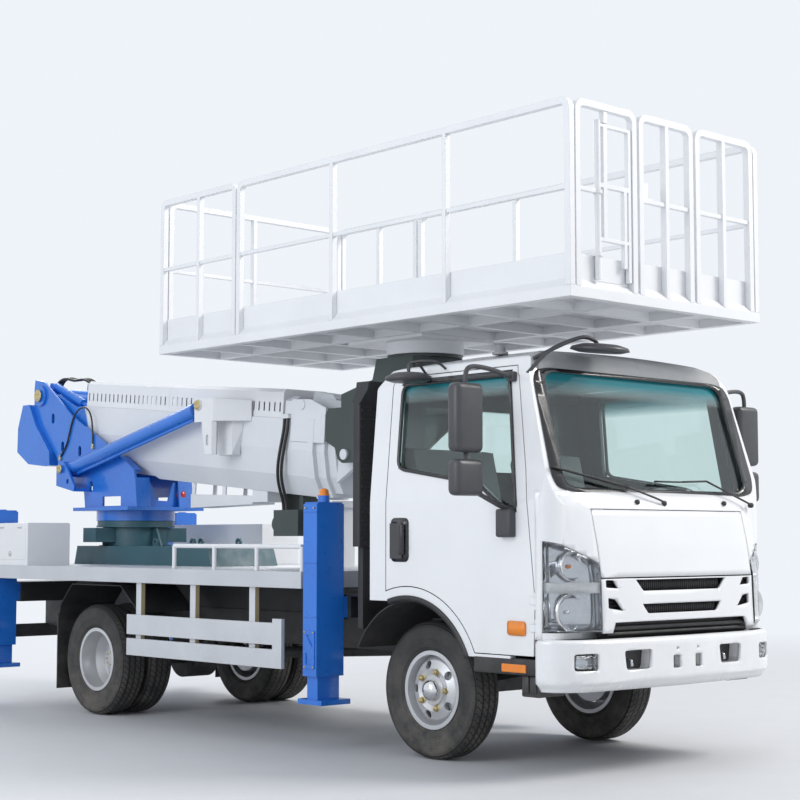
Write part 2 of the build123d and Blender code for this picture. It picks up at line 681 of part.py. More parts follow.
handrail_x = (-20, 1320)
handrail_y = deck_half - 25
handrail_top = 1195
rest_x = (head_pin_x - 360, head_pin_x - 270)
with BuildPart() as deck_fittings:
    for side in (1, -1):
        y = side * handrail_y
        bar((handrail_x[0], y, handrail_top), (handrail_x[1], y, handrail_top), 14)
        for step in range(4):
            x = handrail_x[0] + step * (handrail_x[1] - handrail_x[0]) / 3
            bar((x, y, deck_top), (x, y, handrail_top), 14)
    # The boom's rest: a post on a foot plate, with braces and a saddle
    block((rest_x[0] - 40, rest_x[1] + 40), (-150, 150), (deck_top, deck_top + 12))
    block(rest_x, (-60, 60), (deck_top, 1450))
    along([(-60, 1380), (-150, 1450), (150, 1450), (60, 1380)], rest_x)
    block((rest_x[0] - 15, rest_x[1] + 25), (-160, 160), (1450, 1494))
deck_fittings.part.label = "deck_fittings"
export_step(deck_fittings.part, "parts/deck_fittings.step")

# Side guards: two planks, an end plate and their channel hangers
guard_hangers = (-440, 190, 825)
with BuildPart() as side_guards:
    for side in (1, -1):
        for low, high in ((598, 731), (458, 571)):
            block((-545, 1100), span(side, deck_half - 28, deck_half - 3), (low, high))
        block((1060, 1150), span(side, deck_half - 28, deck_half - 3), (458, 757))
        for x in guard_hangers:
            block((x - 30, x + 30), span(side, deck_half - 60, deck_half - 28), (458, deck_bottom))
side_guards.part.label = "side_guards"
export_step(side_guards.part, "parts/side_guards.step")

# Rear mudguards: a bent sheet over each pair of wheels, with its flap
guard_line = [(rear_axle_x - 445, 650), (rear_axle_x - 400, 780), (rear_axle_x - 256, 920), (rear_axle_x + 379, 920),
              (rear_axle_x + 610, 745)]
with BuildPart() as rear_mudguards:
    for side in (1, -1):
        y = span(side, 440, 900)
        across(guard_line + [(x, z - 8) for x, z in reversed(guard_line)], y)
        block((rear_axle_x - 452, rear_axle_x - 442), span(side, 520, 900), (158, 700))
        for x in (rear_axle_x - 220, rear_axle_x + 340):
            block((x - 20, x + 20), span(side, 560, 600), (918, deck_top - deck_plate))
rear_mudguards.part.label = "rear_mudguards"
export_step(rear_mudguards.part, "parts/rear_mudguards.step")

with BuildPart() as tool_boxes:
    block((deck_rear, -1885), (-deck_half, -644), (deck_top, 1360))
    block((deck_rear, -1180), (644, deck_half), (deck_top, 1355))
    fillet(tool_boxes.edges().filter_by(Axis.X).group_by(Axis.Z)[-1], 15)
tool_boxes.part.label = "tool_boxes"
export_step(tool_boxes.part, "parts/tool_boxes.step")

# Pedestal: a long tapered box, a round column with gussets and the fixed half of the slewing ring
with BuildPart() as pedestal:
    across([(-2380, deck_top), (-2340, 1186), (-600, 1186), (-545, deck_top)], (-300, 300))
    upright((slew_x, 0), (1186, ring_bottom), 255)
    upright((slew_x, 0), (ring_bottom - 14, ring_bottom), ring_radius)
    upright((slew_x, 0), (ring_bottom, ring_split), ring_radius - 8)
    for turn in range(8):
        angle = radians(45 * turn + 22.5)
        bar((slew_x + 240 * cos(angle), 240 * sin(angle), 1186), (slew_x + 285 * cos(angle), 285 * sin(angle), 1186), 6)
    for side in (1, -1):
        block((slew_x - 90, slew_x + 90), span(side, 240, 420), (1215, 1325))
        block((slew_x - 7, slew_x + 7), span(side, 250, 300), (1186, 1215))
    for end in (1, -1):
        across([(slew_x + end * 250, 1186), (slew_x + end * 365, 1186), (slew_x + end * 290, ring_bottom - 14),
                (slew_x + end * 250, ring_bottom - 14)], (-9, 9))
    # Lifting eyes on the long box
    for x in (-1380, -900):
        for side in (1, -1):
            y = span(side, 200, 216)
            block((x - 30, x + 30), y, (1186, 1216))
            pin((x, 1216), y, 30)
            pin((x, 1216), y, 14, mode=Mode.SUBTRACT)
pedestal.part.label = "pedestal"
export_step(pedestal.part, "parts/pedestal.step")

# Outriggers: a beam slides out of its housing with the leg column on its end, and the foot slides down
leg_x_size = 96
leg_y = (812, 978)
for name, x, side in outrigger_rows:
    with BuildPart() as outrigger_beam:
        block((x - beam_size / 2, x + beam_size / 2), span(side, -600, column_inner_y),
              (housing_z - beam_size / 2, housing_z + beam_size / 2))
        block((x - column_x_size / 2, x + column_x_size / 2), span(side, column_inner_y, deck_half),
              (column_bottom, column_top))
        block((x - leg_x_size / 2 - fit_gap, x + leg_x_size / 2 + fit_gap),
              span(side, leg_y[0] - fit_gap, leg_y[1] + fit_gap), (column_bottom - 1, column_top - 12),
              mode=Mode.SUBTRACT)
        block((x - 60, x + 60), span(side, column_inner_y + 10, deck_half - 10), (column_top, column_top + 10))
        # The rear stubs stay below the tray under the boom, which slews over them
        stub = 50 if x > 0 else 16
        upright((x, side * 895), (column_top + 10, column_top + stub), 36)
    outrigger_beam.part.label = f"outrigger_{name}"
    export_step(outrigger_beam.part, f"parts/outrigger_{name}.step")

    with BuildPart() as outrigger_foot:
        block((x - leg_x_size / 2, x + leg_x_size / 2), span(side, *leg_y), (foot_bottom + foot_thickness, 1380))
        block((x - 110, x + 110), span(side, 775, deck_half), (foot_bottom, foot_bottom + foot_thickness))
    outrigger_foot.part.label = f"outrigger_foot_{name}"
    export_step(outrigger_foot.part, f"parts/outrigger_foot_{name}.step")


# Boom frame: u runs along the boom from its pivot, v stands up from it
def boom_point(u, v):
    angle = radians(boom_droop)
    return (pivot_x + u * cos(angle) + v * sin(angle), pivot_z - u * sin(angle) + v * cos(angle))


def boom_side(outline, y, mode=Mode.ADD):
    # A plate on the boom whose side view is the outline of (u, v) points.
    across([boom_point(u, v) for u, v in outline], y, mode)


def boom_section(half_outline, inset, reach, mode=Mode.ADD):
    # A length of the boom whose section is the (half width, v) outline, drawn in by inset.
    start_x, start_z = boom_point(reach[0], 0)
    angle = radians(boom_droop)
    square = Plane(origin=(start_x, 0, start_z), x_dir=(0, 1, 0), z_dir=(cos(angle), 0, -sin(angle)))
    with BuildSketch(square) as face:
        with BuildLine():
            Polyline(*half_outline, *[(-y, v) for y, v in reversed(half_outline)], close=True)
        make_face()
        if inset:
            offset(amount=-inset)
    extrude(face.sketch, amount=reach[1] - reach[0], mode=mode)


# Slewing turret: ring, base plate, two cheeks with flanged front edges, cylinder lugs and the tail box
turret_front = -1568
# Columns: X, Z, width and height of the slots in both cheeks
cheek_slots = ((-2811, 2220, 44, 84), (-2655, 1984, 44, 84), (-2392, 1937, 44, 84), (-2213, 1652, 44, 84))
with BuildPart() as turret:
    upright((slew_x, 0), (ring_split + fit_gap, base_bottom), ring_radius)
    block((-2330, turret_front + 18), (-350, 350), (base_bottom, base_top))
    cheek = [(-2299, base_top), (-2317, 1610), (-2409, 1660), (-2638, 1681), (-2738, 1895), (-3024, 2178),
             (-3110, 2274), (-3117, 2475), (-3104, 2557), (-2960, 2530), (-2529, 2234), (-1797, 1877), (-1611, 1768),
             (-1596, 1707), (turret_front, base_top)]
    tail = [(-3232, 2349), (-3130, 2349), (-3024, 2178), (-2800, 1950), (-2790, 1835), (-2853, 1830), (-3128, 1856),
            (-3314, 1962), (-3308, 2162)]
    for side in (1, -1):
        across(cheek, span(side, cheek_inner, cheek_outer))
        # Flanges turned in along the front edge
        across([(-1797, 1877), (-1611, 1768), (-1618, 1756), (-1804, 1865)], span(side, 192, cheek_outer))
        across([(-1603, 1707), (-1590, 1707), (turret_front + 7, base_top), (turret_front - 6, base_top)],
               span(side, 130, cheek_outer))
        pin((pivot_x, pivot_z), span(side, cheek_inner, cheek_outer + 18), 85)
        pin((pivot_x, pivot_z), span(side, cheek_inner - 1, cheek_outer + 30), 40 + fit_gap, mode=Mode.SUBTRACT)
        lug_inner = luff_y + luff_half + luff_side_gap
        pin((luff_base_x, luff_base_z), span(side, cheek_outer, luff_y - luff_half - luff_side_gap), 62)
        across([(luff_base_x - 70, luff_base_z), (luff_base_x - 70, 1660), (luff_base_x + 190, 1610),
                (luff_base_x + 200, 1650), (luff_base_x + 90, luff_base_z), (luff_base_x + 30, luff_base_z + 60),
                (luff_base_x - 40, luff_base_z + 60)], span(side, lug_inner, lug_inner + lug_plate))
        across([(luff_base_x - 70, 1660), (luff_base_x - 70, 1685), (luff_base_x + 190, 1635),
                (luff_base_x + 190, 1610)], span(side, cheek_outer, lug_inner))
        pin((luff_base_x, luff_base_z), span(side, cheek_outer, lug_inner + lug_plate + 16), 30)
        pin((luff_base_x + 100, 1690), span(side, lug_inner - 1, lug_inner + lug_plate + 1), 20, mode=Mode.SUBTRACT)
        for x, z, width, height in cheek_slots:
            slot((x, z), span(side, cheek_inner - 1, cheek_outer + 1), width, height)
        block((-2045, -1785), span(side, cheek_inner - 1, cheek_outer + 1), (1495, 1568), mode=Mode.SUBTRACT)
    across(tail, (-300, 300))
    across([(-2638, 1681), (-2738, 1895), (-2716, 1895), (-2622, 1702), (-2409, 1681), (-2409, 1660)],
           (-cheek_inner, cheek_inner))
    # Front wall with its notch
    along([(-cheek_inner, base_top), (-cheek_inner, 1676), (-115, 1676), (-84, 1631), (-44, 1535), (53, 1531),
           (97, 1676), (cheek_inner, 1676), (cheek_inner, base_top)], (-1620, -1608))
turret.part.label = "turret"
export_step(turret.part, "parts/turret.step")

# Hose loops on both cheeks, from a fitting over the lug to one over the cylinder
loop_line = [(-2673, 1902), (-2582, 1972), (-2532, 2100), (-2484, 2212), (-2400, 2277), (-2295, 2287), (-2216, 2224),
             (-2186, 2098), (-2186, 1975)]
loop_radius = 7
loop_y = cheek_outer + 2 + loop_radius
with BuildPart() as turret_hoses:
    for side in (1, -1):
        hose([(x, side * loop_y, z) for x, z in loop_line], loop_radius)
        for x, z in (loop_line[0], loop_line[-1]):
            block((x - 12, x + 12), span(side, cheek_outer, loop_y + loop_radius + 2), (z - 30, z + 2))
turret_hoses.part.label = "turret_hoses"
export_step(turret_hoses.part, "parts/turret_hoses.step")

# Boom sections: half outlines of (half width, v), from the top down
section_outline = [(215, -61), (215, -270), (178, -448), (105, -580)]
cover_outline = [(175, 142), (200, 118), (200, -60.7)]
root_half = 221
root_wall = 20


def boom_height(x, v):
    # Height at X of the line at v, with the boom at rest.
    start = boom_point(0, v)
    return start[1] - (x - start[0]) * tan(radians(boom_droop))


def boom_bar(start, end, y, radius, mode=Mode.ADD):
    # A round bar between two (u, v) points of the boom.
    low = boom_point(*start)
    high = boom_point(*end)
    bar((low[0], y, low[1]), (high[0], y, high[1]), radius, mode)


with BuildPart() as boom_base:
    boom_section(section_outline, 0, (600, boom_length))
    boom_section(section_outline, boom_wall, (640, boom_length + 1), mode=Mode.SUBTRACT)
    boom_side([(500, -700), (500, -448), (1275, -448), (1570, -580), (1570, -700)], (-300, 300), mode=Mode.SUBTRACT)
    # Root: two side plates round an open trough, with doublers that lap the section's sides
    root = [(-75, 50), (-75, -60), (0, -130), (615, -448), (640, -448), (640, -62), (615, -62), (484, -70), (60, 50)]
    boom_side(root, (-root_half, root_half))
    boom_side([(-40, 36), (-40, -45), (20, -105), (580, -395), (580, 60), (60, 60), (60, 36)],
              (root_wall - root_half, root_half - root_wall), mode=Mode.SUBTRACT)
    for side in (1, -1):
        boom_side([(630, -62), (644, -130), (707, -270), (630, -270)], span(side, 210, root_half))
    pin((pivot_x, pivot_z), (-root_half, root_half), 70)
    pin((pivot_x, pivot_z), (-cheek_outer - 34, cheek_outer + 34), 40)
    # Levelling cylinder in the trough, between lugs on the root and the plate that closes the trough
    level_y = -140
    for near, far in ((-178, -166), (-114, -102)):
        boom_side([(-20, 49), (-10, 112), (40, 112), (56, 49)], (near, far))
    pin(boom_point(15, 85), (level_y - 26, level_y + 26), 24)
    boom_bar((25, 83), (470, -42), level_y, 34)
    boom_bar((460, -39), (590, -76), level_y, 18)
    # Shelf behind the pivot that the hoses stand on
    boom_side([(-112, 4), (-112, 14), (-74, 14), (-74, 4)], (-110, 10))
    # Collar at the front, and the side plates of the head with their pins
    boom_section(section_outline, -14, (boom_length - 60, boom_length))
    boom_section(section_outline, section_gap + boom_wall - fit_gap, (boom_length - 61, boom_length + 1),
                 mode=Mode.SUBTRACT)
    for side in (1, -1):
        boom_side([(boom_length - 253, -212), (boom_length - 253, 73), (boom_length - 55, 78), (boom_length + 113, 25),
                   (boom_length + 113, -212)], span(side, 215, 227))
        pin(boom_point(boom_length - 143, 38), span(side, 214, 233), 34)
    # Saddle with the hose fittings, a hump before the collar and the link beside it
    boom_section([(150, 95), (222, 60), (222, -70)], 0, (boom_length - 328, boom_length - 251))
    block((188, 262), (-250, -218), (2060, 2090))
    boom_side([(boom_length - 255, -65), (boom_length - 208, 134), (boom_length - 15, 121), (boom_length + 20, 91),
               (boom_length + 20, -30), (boom_length - 10, -65)], (-70, 70))
    boom_side([(boom_length - 136, 94), (boom_length + 136, 75), (boom_length + 121, 12), (boom_length - 41, 27)],
              (-80, -68))
    # Tray and hanger box under the boom
    across([(-1085, 1470), (-1085, 1572), (-328, 1547), (-328, 1486)], (-100, 100))
    across([(-1075, 1500), (-1075, 1580), (-340, 1560), (-340, 1500)], (-90, 90), mode=Mode.SUBTRACT)
    across([(-328, 1500), (-328, boom_height(-328, -575)), (-155, boom_height(-155, -575)), (-155, 1500)], (-100, 100))
    for u in (2000, 2380):
        for side in (1, -1):
            boom_side([(u, -575), (u + 40, -575), (u + 40, -700), (u, -700)], span(side, 90, 100))
boom_base.part.label = "boom_base"
export_step(boom_base.part, "parts/boom_base.step")

# Slotted white cover along the top, in two lengths that meet at a seam
cover_reach = (620, boom_length - 380)
cover_seam = 1775
# Columns: u of the first slot, number of slots
slot_rows = ((642, 19), (1816, 6), (2700, 8))
slot_pitch = 59.5
slot_size = (14, 62)
with BuildPart() as boom_cover:
    boom_section(cover_outline, 0, cover_reach)
    boom_section([(171, 138), (196, 116), (196, -80)], 0, (cover_reach[0] + 4, cover_reach[1] - 4), mode=Mode.SUBTRACT)
    for first, count in slot_rows:
        for step in range(count):
            u = first + step * slot_pitch
            boom_side([(u, -16), (u + slot_size[0], -16), (u + slot_size[0], slot_size[1] - 16),
                       (u, slot_size[1] - 16)], (-210, 210), mode=Mode.SUBTRACT)
    boom_side([(cover_seam, -40), (cover_seam, 112), (cover_seam + 4, 112), (cover_seam + 4, -40)], (-202, -198.5),
              mode=Mode.SUBTRACT)
    boom_side([(cover_seam, -40), (cover_seam, 112), (cover_seam + 4, 112), (cover_seam + 4, -40)], (198.5, 202),
              mode=Mode.SUBTRACT)
boom_cover.part.label = "boom_cover"
export_step(boom_cover.part, "parts/boom_cover.step")

# Hoses: a bundle over the pivot into the cover, and a pair from the head's saddle down to the pump unit
bundle_line = [(-94, 14), (-94, 56), (-76, 98), (-40, 132), (14, 152), (75, 158), (140, 148), (205, 142), (270, 152),
               (335, 158), (400, 146), (460, 122), (515, 97), (570, 84), (cover_reach[0], 84)]
bundle_ys = (-76, -50, -24)
bundle_radius = 10
pair_radius = 11
pair_shifts = (0, 40)
pair_line = [(205, -236, 2060), (205, -236, 2005), (176, -238, 1900), (140, -239, 1768), (112, -222, 1668),
             (88, -182, 1580), (66, -130, 1492), (66, -130, 1440)]
with BuildPart() as boom_hoses:
    for order, y in enumerate(bundle_ys):
        lift = 4 * order
        spots = [(u, v + lift * (0 < number < len(bundle_line) - 2)) for number, (u, v) in enumerate(bundle_line)]
        hose([(boom_point(u, v)[0], y, boom_point(u, v)[1]) for u, v in spots], bundle_radius)
    for shift in pair_shifts:
        hose([(x + shift, y, z) for x, y, z in pair_line], pair_radius)
boom_hoses.part.label = "boom_hoses"
export_step(boom_hoses.part, "parts/boom_hoses.step")

middle_inset = boom_wall + section_gap
tip_inset = middle_inset + boom_wall + section_gap
with BuildPart() as boom_middle:
    boom_section(section_outline, middle_inset, (700, boom_length + 100))
    boom_section(section_outline, middle_inset + boom_wall, (690, boom_length + 110), mode=Mode.SUBTRACT)
    boom_section(section_outline, boom_wall + fit_gap, (700, 780))
    boom_section(section_outline, middle_inset + boom_wall, (690, 790), mode=Mode.SUBTRACT)
    boom_section(section_outline, 6, (boom_length + 60, boom_length + 100))
    boom_section(section_outline, tip_inset - fit_gap, (boom_length + 50, boom_length + 110), mode=Mode.SUBTRACT)
boom_middle.part.label = "boom_middle"
export_step(boom_middle.part, "parts/boom_middle.step")

with BuildPart() as boom_tip:
    boom_section(section_outline, tip_inset, (800, boom_length + 180))
    boom_section(section_outline, tip_inset + boom_wall, (790, boom_length + 160), mode=Mode.SUBTRACT)
    boom_section(section_outline, middle_inset + boom_wall + fit_gap, (800, 880))
    boom_section(section_outline, tip_inset + boom_wall, (790, 890), mode=Mode.SUBTRACT)
    for side in (1, -1):
        boom_side([(boom_length + 180, -160), (boom_length + 180, -470), (boom_length + 340, -360),
                   (boom_length + 360, -210)], span(side, 120, 150))
    pin((head_pin_x, head_pin_z), (-150, 150), 60)
    pin((head_pin_x, head_pin_z), (-275, 275), 35)
boom_tip.part.label = "boom_tip"
export_step(boom_tip.part, "parts/boom_tip.step")

# Luffing cylinders: barrels on the turret's lugs, rods to the brackets on the boom's sides
luff_run = (luff_eye_x - luff_base_x, luff_eye_z - luff_base_z)
luff_length = hypot(*luff_run)
luff_angle = degrees(atan2(luff_run[1], luff_run[0]))


def luff_point(length, rise):
    # A point along the cylinder from its base pin, and square to it.
    angle = radians(luff_angle)
    return (luff_base_x + length * cos(angle) - rise * sin(angle),
            luff_base_z + length * sin(angle) + rise * cos(angle))


def luff_bar(side, start, end, rise, radius, mode=Mode.ADD):
    # A round bar along the cylinder on one side, raised from its middle line.
    low = luff_point(start, rise)
    high = luff_point(end, rise)
    bar((low[0], side * luff_y, low[1]), (high[0], side * luff_y, high[1]), radius, mode)


barrel_length = luff_length - 130
barrel_radius = 52
pipe_radius = 13
rod_radius = 36
rod_eye_radius = 44
with BuildPart() as luff_barrels:
    for side in (1, -1):
        y = span(side, luff_y - luff_half, luff_y + luff_half)
        luff_bar(side, 30, barrel_length, 0, barrel_radius)
        luff_bar(side, barrel_length - 70, barrel_length, 0, barrel_radius + 3)
        pin((luff_base_x, luff_base_z), y, eye_radius)
        pin((luff_base_x, luff_base_z), span(side, 200, 500), 30 + fit_gap, mode=Mode.SUBTRACT)
        luff_bar(side, 120, barrel_length - 40, 6 - barrel_radius - pipe_radius, pipe_radius)
        luff_bar(side, 150, barrel_length + 5, 0, rod_radius, mode=Mode.SUBTRACT)
luff_barrels.part.label = "luff_barrels"
export_step(luff_barrels.part, "parts/luff_barrels.step")

with BuildPart() as luff_rods:
    for side in (1, -1):
        luff_bar(side, 200, luff_length, 0, rod_radius - fit_gap)
        pin((luff_eye_x, luff_eye_z), span(side, luff_y - luff_half + 5, luff_y + luff_half - 5), rod_eye_radius)
luff_rods.part.label = "luff_rods"
export_step(luff_rods.part, "parts/luff_rods.step")

# Brackets on the boom's sides: an upper box round the rod's eye and a tapered leg with slots, both open behind
with BuildPart() as luff_brackets:
    for side in (1, -1):
        inner = luff_y - luff_half
        outer = luff_y + luff_half
        shell = outer + 15
        # Columns: plan of the box and of the leg as (X, distance from the middle), lowest and highest Z
        box_plan = [(-610, 215), (-610, shell), (-385, shell), (-190, 222), (-190, 215)]
        leg_plan = [(-520, 215), (-520, shell), (-400, shell), (-290, 222), (-290, 215)]
        for plan, low, high in ((box_plan, 2068, 2246), (leg_plan, 1832, 2068)):
            with BuildSketch(Plane.XY.offset(low)) as outline:
                with BuildLine():
                    Polyline(*[(x, side * y) for x, y in plan], close=True)
                make_face()
            extrude(outline.sketch, amount=high - low)
        # The leg narrows downwards, and the box's top falls towards the front
        across([(-530, 2068), (-530, 1820), (-478, 1820)], span(side, 210, shell + 1), mode=Mode.SUBTRACT)
        across([(-280, 2068), (-280, 1820), (-330, 1820)], span(side, 210, shell + 1), mode=Mode.SUBTRACT)
        across([(-620, 2249), (-620, 2260), (-180, 2260), (-180, 2212)], span(side, 200, shell + 1), mode=Mode.SUBTRACT)
        # Room inside for the cylinder's eye
        with BuildSketch(Plane.XY.offset(1800)) as hollow:
            with BuildLine():
                Polyline(*[(x, side * y) for x, y in ((-640, inner), (-640, outer), (-395, outer), (-310, inner))],
                         close=True)
            make_face()
        extrude(hollow.sketch, amount=418, mode=Mode.SUBTRACT)
        block((-640, -508), span(side, inner, outer), (2200, 2237), mode=Mode.SUBTRACT)
        pin((luff_eye_x, luff_eye_z), span(side, shell - 1, shell + 14), 40)
        slot((-452, 1935), span(side, outer - 1, shell + 1), 34, 76)
luff_brackets.part.label = "luff_brackets"
export_step(luff_brackets.part, "parts/luff_brackets.step")

# Pump and motor unit that hangs under the boom, on straps that reach the boom's underside
with BuildPart() as pump_unit:
    block((-20, 250), (-150, 150), (1260, 1440))
    bar((250, 0, 1345), (395, 0, 1345), 80)
    bar((-150, 0, 1345), (-20, 0, 1345), 65)
    for x in (10, 190):
        across([(x, 1440), (x, boom_height(x, -580.3)), (x + 40, boom_height(x + 40, -580.3)), (x + 40, 1440)],
               (-90, 90))
pump_unit.part.label = "pump_unit"
export_step(pump_unit.part, "parts/pump_unit.step")

# Levelled head: two cheeks on the head pin and a box post under the platform's ring
head_cheek = [(830, 2185), (830, 2100), (700, 2100), (668, 2060), (668, 1890), (690, 1874), (765, 1838), (795, 1762),
              (840, 1735), (960, 1735), (1000, 1745), (1240, 1900), (1520, 2060), (1520, 2390), (1180, 2390), (1140, 2260)]
with BuildPart() as platform_head:
    for side in (1, -1):
        across(head_cheek, span(side, 240, 258))
    block((1180, 1520), (-240, 240), (2050, 2390))
    upright((swivel_x, 0), (2390, swivel_z), 240)
    for side in (1, -1):
        pin((head_pin_x, head_pin_z), span(side, 230, 262), 35 + fit_gap, mode=Mode.SUBTRACT)
platform_head.part.label = "platform_head"
export_step(platform_head.part, "parts/platform_head.step")

# Work platform: swivel ring, sub-frame, floor on beams, a sloping edge all round and toe boards inside it
gate_y = (-587, -321)
post_half = hoop_tube / 2
hoop_x = platform_front - 1 - post_half


def platform_sheet(inset, z, taper=0, mode=Mode.ADD):
    # A flat block with the platform's outline drawn in by inset, whose sides may lean in as they rise.
    with BuildSketch(Plane.XY.offset(z[0])) as face:
        with Locations(((platform_rear + platform_front) / 2, 0)):
            Rectangle(platform_length - 2 * inset, 2 * (platform_half - inset))
    extrude(face.sketch, amount=z[1] - z[0], taper=taper, mode=mode)


def platform_edge(mode=Mode.ADD):
    # The sloping top of the edge, from the outside up to the toe boards.
    lean = degrees(atan2(ledge_width, ledge_top - edge_top))
    platform_sheet(0, (edge_top, ledge_top), lean, mode)


with BuildPart() as platform_base:
    platform_sheet(0, (platform_bottom, edge_top))
    platform_edge()
    platform_sheet(ledge_width, (ledge_top, toe_top))
    platform_sheet(ledge_width + toe_wall, (platform_floor + toe_wall, toe_top + 1), mode=Mode.SUBTRACT)
    platform_sheet(edge_width, (platform_bottom - 1, platform_floor), mode=Mode.SUBTRACT)
    for side in (1, -1):
        block((platform_rear + 20, platform_front - 20), span(side, 300, 360), (platform_bottom, platform_floor))
    for step in range(1, 9):
        x = platform_rear + step * platform_length / 9
        block((x - 25, x + 25), (-platform_half + 20, platform_half - 20), (platform_bottom, platform_floor))
    block((swivel_x - 385, swivel_x + 310), (-320, 320), (platform_bottom - 20, platform_bottom))
    upright((swivel_x, 0), (swivel_z + fit_gap, platform_bottom - 20), swivel_radius)
    # The toe board is open behind the gate, and holds the gate's lower ring
    block((platform_front - 60, platform_front), (gate_y[0] + 13, gate_y[1]), (ledge_top, toe_top + 1), mode=Mode.SUBTRACT)
    block((hoop_x - 26, hoop_x), (gate_y[0] - 26, gate_y[0] + 8), (toe_top - 5, toe_top + 15))
    upright((hoop_x, gate_y[0]), (toe_top - 5, toe_top + 15), 26)
    upright((hoop_x, gate_y[0]), (toe_top - 6, toe_top + 16), 18 + fit_gap, mode=Mode.SUBTRACT)
platform_base.part.label = "platform_base"
export_step(platform_base.part, "parts/platform_base.step")


def hoop(square, start, end, thickness):
    # A bent square tube with both feet on the platform's edge, drawn on an upright plane.
    with BuildSketch(square) as face:
        for inset, mode in ((0, Mode.ADD), (hoop_tube, Mode.SUBTRACT)):
            with BuildLine():
                FilletPolyline((start + inset, edge_top - inset), (start + inset, hoop_top - inset),
                               (end - inset, hoop_top - inset), (end - inset, edge_top - inset),
                               radius=hoop_bend - inset)
                Line((end - inset, edge_top - inset), (start + inset, edge_top - inset))
            make_face(mode=mode)
    extrude(face.sketch, amount=thickness)


# Columns: where a hoop starts and ends, and the posts between its ends. On the sides these are distances from the
# platform's rear end, on the ends they are Y.
side_hoops = ((1, 868, (445,)), (876, platform_length - 1, (1842, 2841)))
rear_hoops = ((-781, 781, (-33,)),)
front_hoops = ((-781, -278, ()), (-259, 218, (-16,)), (240, 781, (503,)))
with BuildPart() as platform_rails:
    for side in (1, -1):
        hoop_y = span(side, platform_half - 1 - hoop_tube, platform_half - 1)
        rail_y = span(side, platform_half - 1 - post_half - mid_tube / 2, platform_half - 1 - post_half + mid_tube / 2)
        for start, end, posts in side_hoops:
            start_x = platform_rear + start
            end_x = platform_rear + end
            hoop(Plane.XZ.offset(-hoop_y[1]), start_x, end_x, hoop_tube)
            block((start_x + post_half, end_x - post_half), rail_y, mid_rail)
            for post in posts:
                x = platform_rear + post
                block((x - post_width / 2, x + post_width / 2), hoop_y, (edge_top, hoop_top - post_half))
    for rear_x, rows in ((platform_rear + 1, rear_hoops), (hoop_x - post_half, front_hoops)):
        mid_x = rear_x + post_half
        for start, end, posts in rows:
            hoop(Plane.YZ.offset(rear_x), start, end, hoop_tube)
            rail_end = end - post_half
            if rows == front_hoops and not posts:
                rail_end = gate_y[0] - 22
            block((mid_x - mid_tube / 2, mid_x + mid_tube / 2), (start + post_half, rail_end), mid_rail)
            for y in posts:
                block((rear_x, rear_x + hoop_tube), (y - post_width / 2, y + post_width / 2),
                      (edge_top, hoop_top - post_half))
    # Stop post over the gate, the gate's upper ring and the control box
    block((hoop_x - 15, hoop_x + 15), (-550, -519), (3476, hoop_top - post_half))
    upright((hoop_x, gate_y[0]), (mid_rail[0], mid_rail[1] - 4), 26)
    upright((hoop_x, gate_y[0]), (mid_rail[0] - 1, mid_rail[1] + 1), 18 + fit_gap, mode=Mode.SUBTRACT)
    block((hoop_x - 115, hoop_x - 22), (-234, -134), (mid_rail[1] + 4, mid_rail[1] + 98))
    block((hoop_x - 115, hoop_x + 10), (-225, -140), (mid_rail[1], mid_rail[1] + 4))
    platform_edge(mode=Mode.SUBTRACT)
platform_rails.part.label = "platform_rails"
export_step(platform_rails.part, "parts/platform_rails.step")

gate_half = 12.5
with BuildPart() as platform_gate:
    upright((hoop_x, gate_y[0]), (ledge_top + 9, 3486), 18)
    # Columns: lowest and highest Y, lowest and highest Z of the gate's bars
    for low_y, high_y, low_z, high_z in ((gate_y[0], -321, 3453, 3470), (gate_y[0], -321, 3121, 3146),
                                         (gate_y[0], -321, 2830, 2850), (-346, -321, 2625, 3470),
                                         (-550, -519, 2850, 3453), (-382, -358, 2700, 3121)):
        block((hoop_x - gate_half, hoop_x + gate_half), (low_y, high_y), (low_z, high_z))
    toe_x = (platform_front - ledge_width - toe_wall, platform_front - ledge_width)
    block(toe_x, (gate_y[0] + 19, -326), (ledge_top + 5, toe_top - 3))
    for y in ((-382, -358), (-346, -326)):
        block((toe_x[0], hoop_x), y, (2700, 2740))
platform_gate.part.label = "platform_gate"
export_step(platform_gate.part, "parts/platform_gate.step")
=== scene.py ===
import json
from math import cos, pi, radians, sin

import bmesh
import bpy
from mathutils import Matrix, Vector


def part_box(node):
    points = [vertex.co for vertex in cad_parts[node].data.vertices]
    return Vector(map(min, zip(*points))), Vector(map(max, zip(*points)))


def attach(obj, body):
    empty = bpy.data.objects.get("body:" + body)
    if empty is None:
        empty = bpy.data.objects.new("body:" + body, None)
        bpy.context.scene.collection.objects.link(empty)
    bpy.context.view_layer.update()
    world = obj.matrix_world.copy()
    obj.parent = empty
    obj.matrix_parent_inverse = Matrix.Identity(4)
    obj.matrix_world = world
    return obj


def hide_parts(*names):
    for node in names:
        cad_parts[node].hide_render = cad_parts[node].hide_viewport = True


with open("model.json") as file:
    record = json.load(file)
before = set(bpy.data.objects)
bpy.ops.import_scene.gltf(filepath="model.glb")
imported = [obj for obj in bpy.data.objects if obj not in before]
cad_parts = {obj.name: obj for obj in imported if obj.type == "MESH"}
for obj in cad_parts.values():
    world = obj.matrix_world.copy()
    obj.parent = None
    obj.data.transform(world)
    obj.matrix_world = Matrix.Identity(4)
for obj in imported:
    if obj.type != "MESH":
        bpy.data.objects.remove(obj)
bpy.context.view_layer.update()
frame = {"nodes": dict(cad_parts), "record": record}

nodes = frame["nodes"]
view = bpy.context.scene.view_settings
view.view_transform = "Standard"
print("stage: frame loaded,", len(nodes), "nodes")


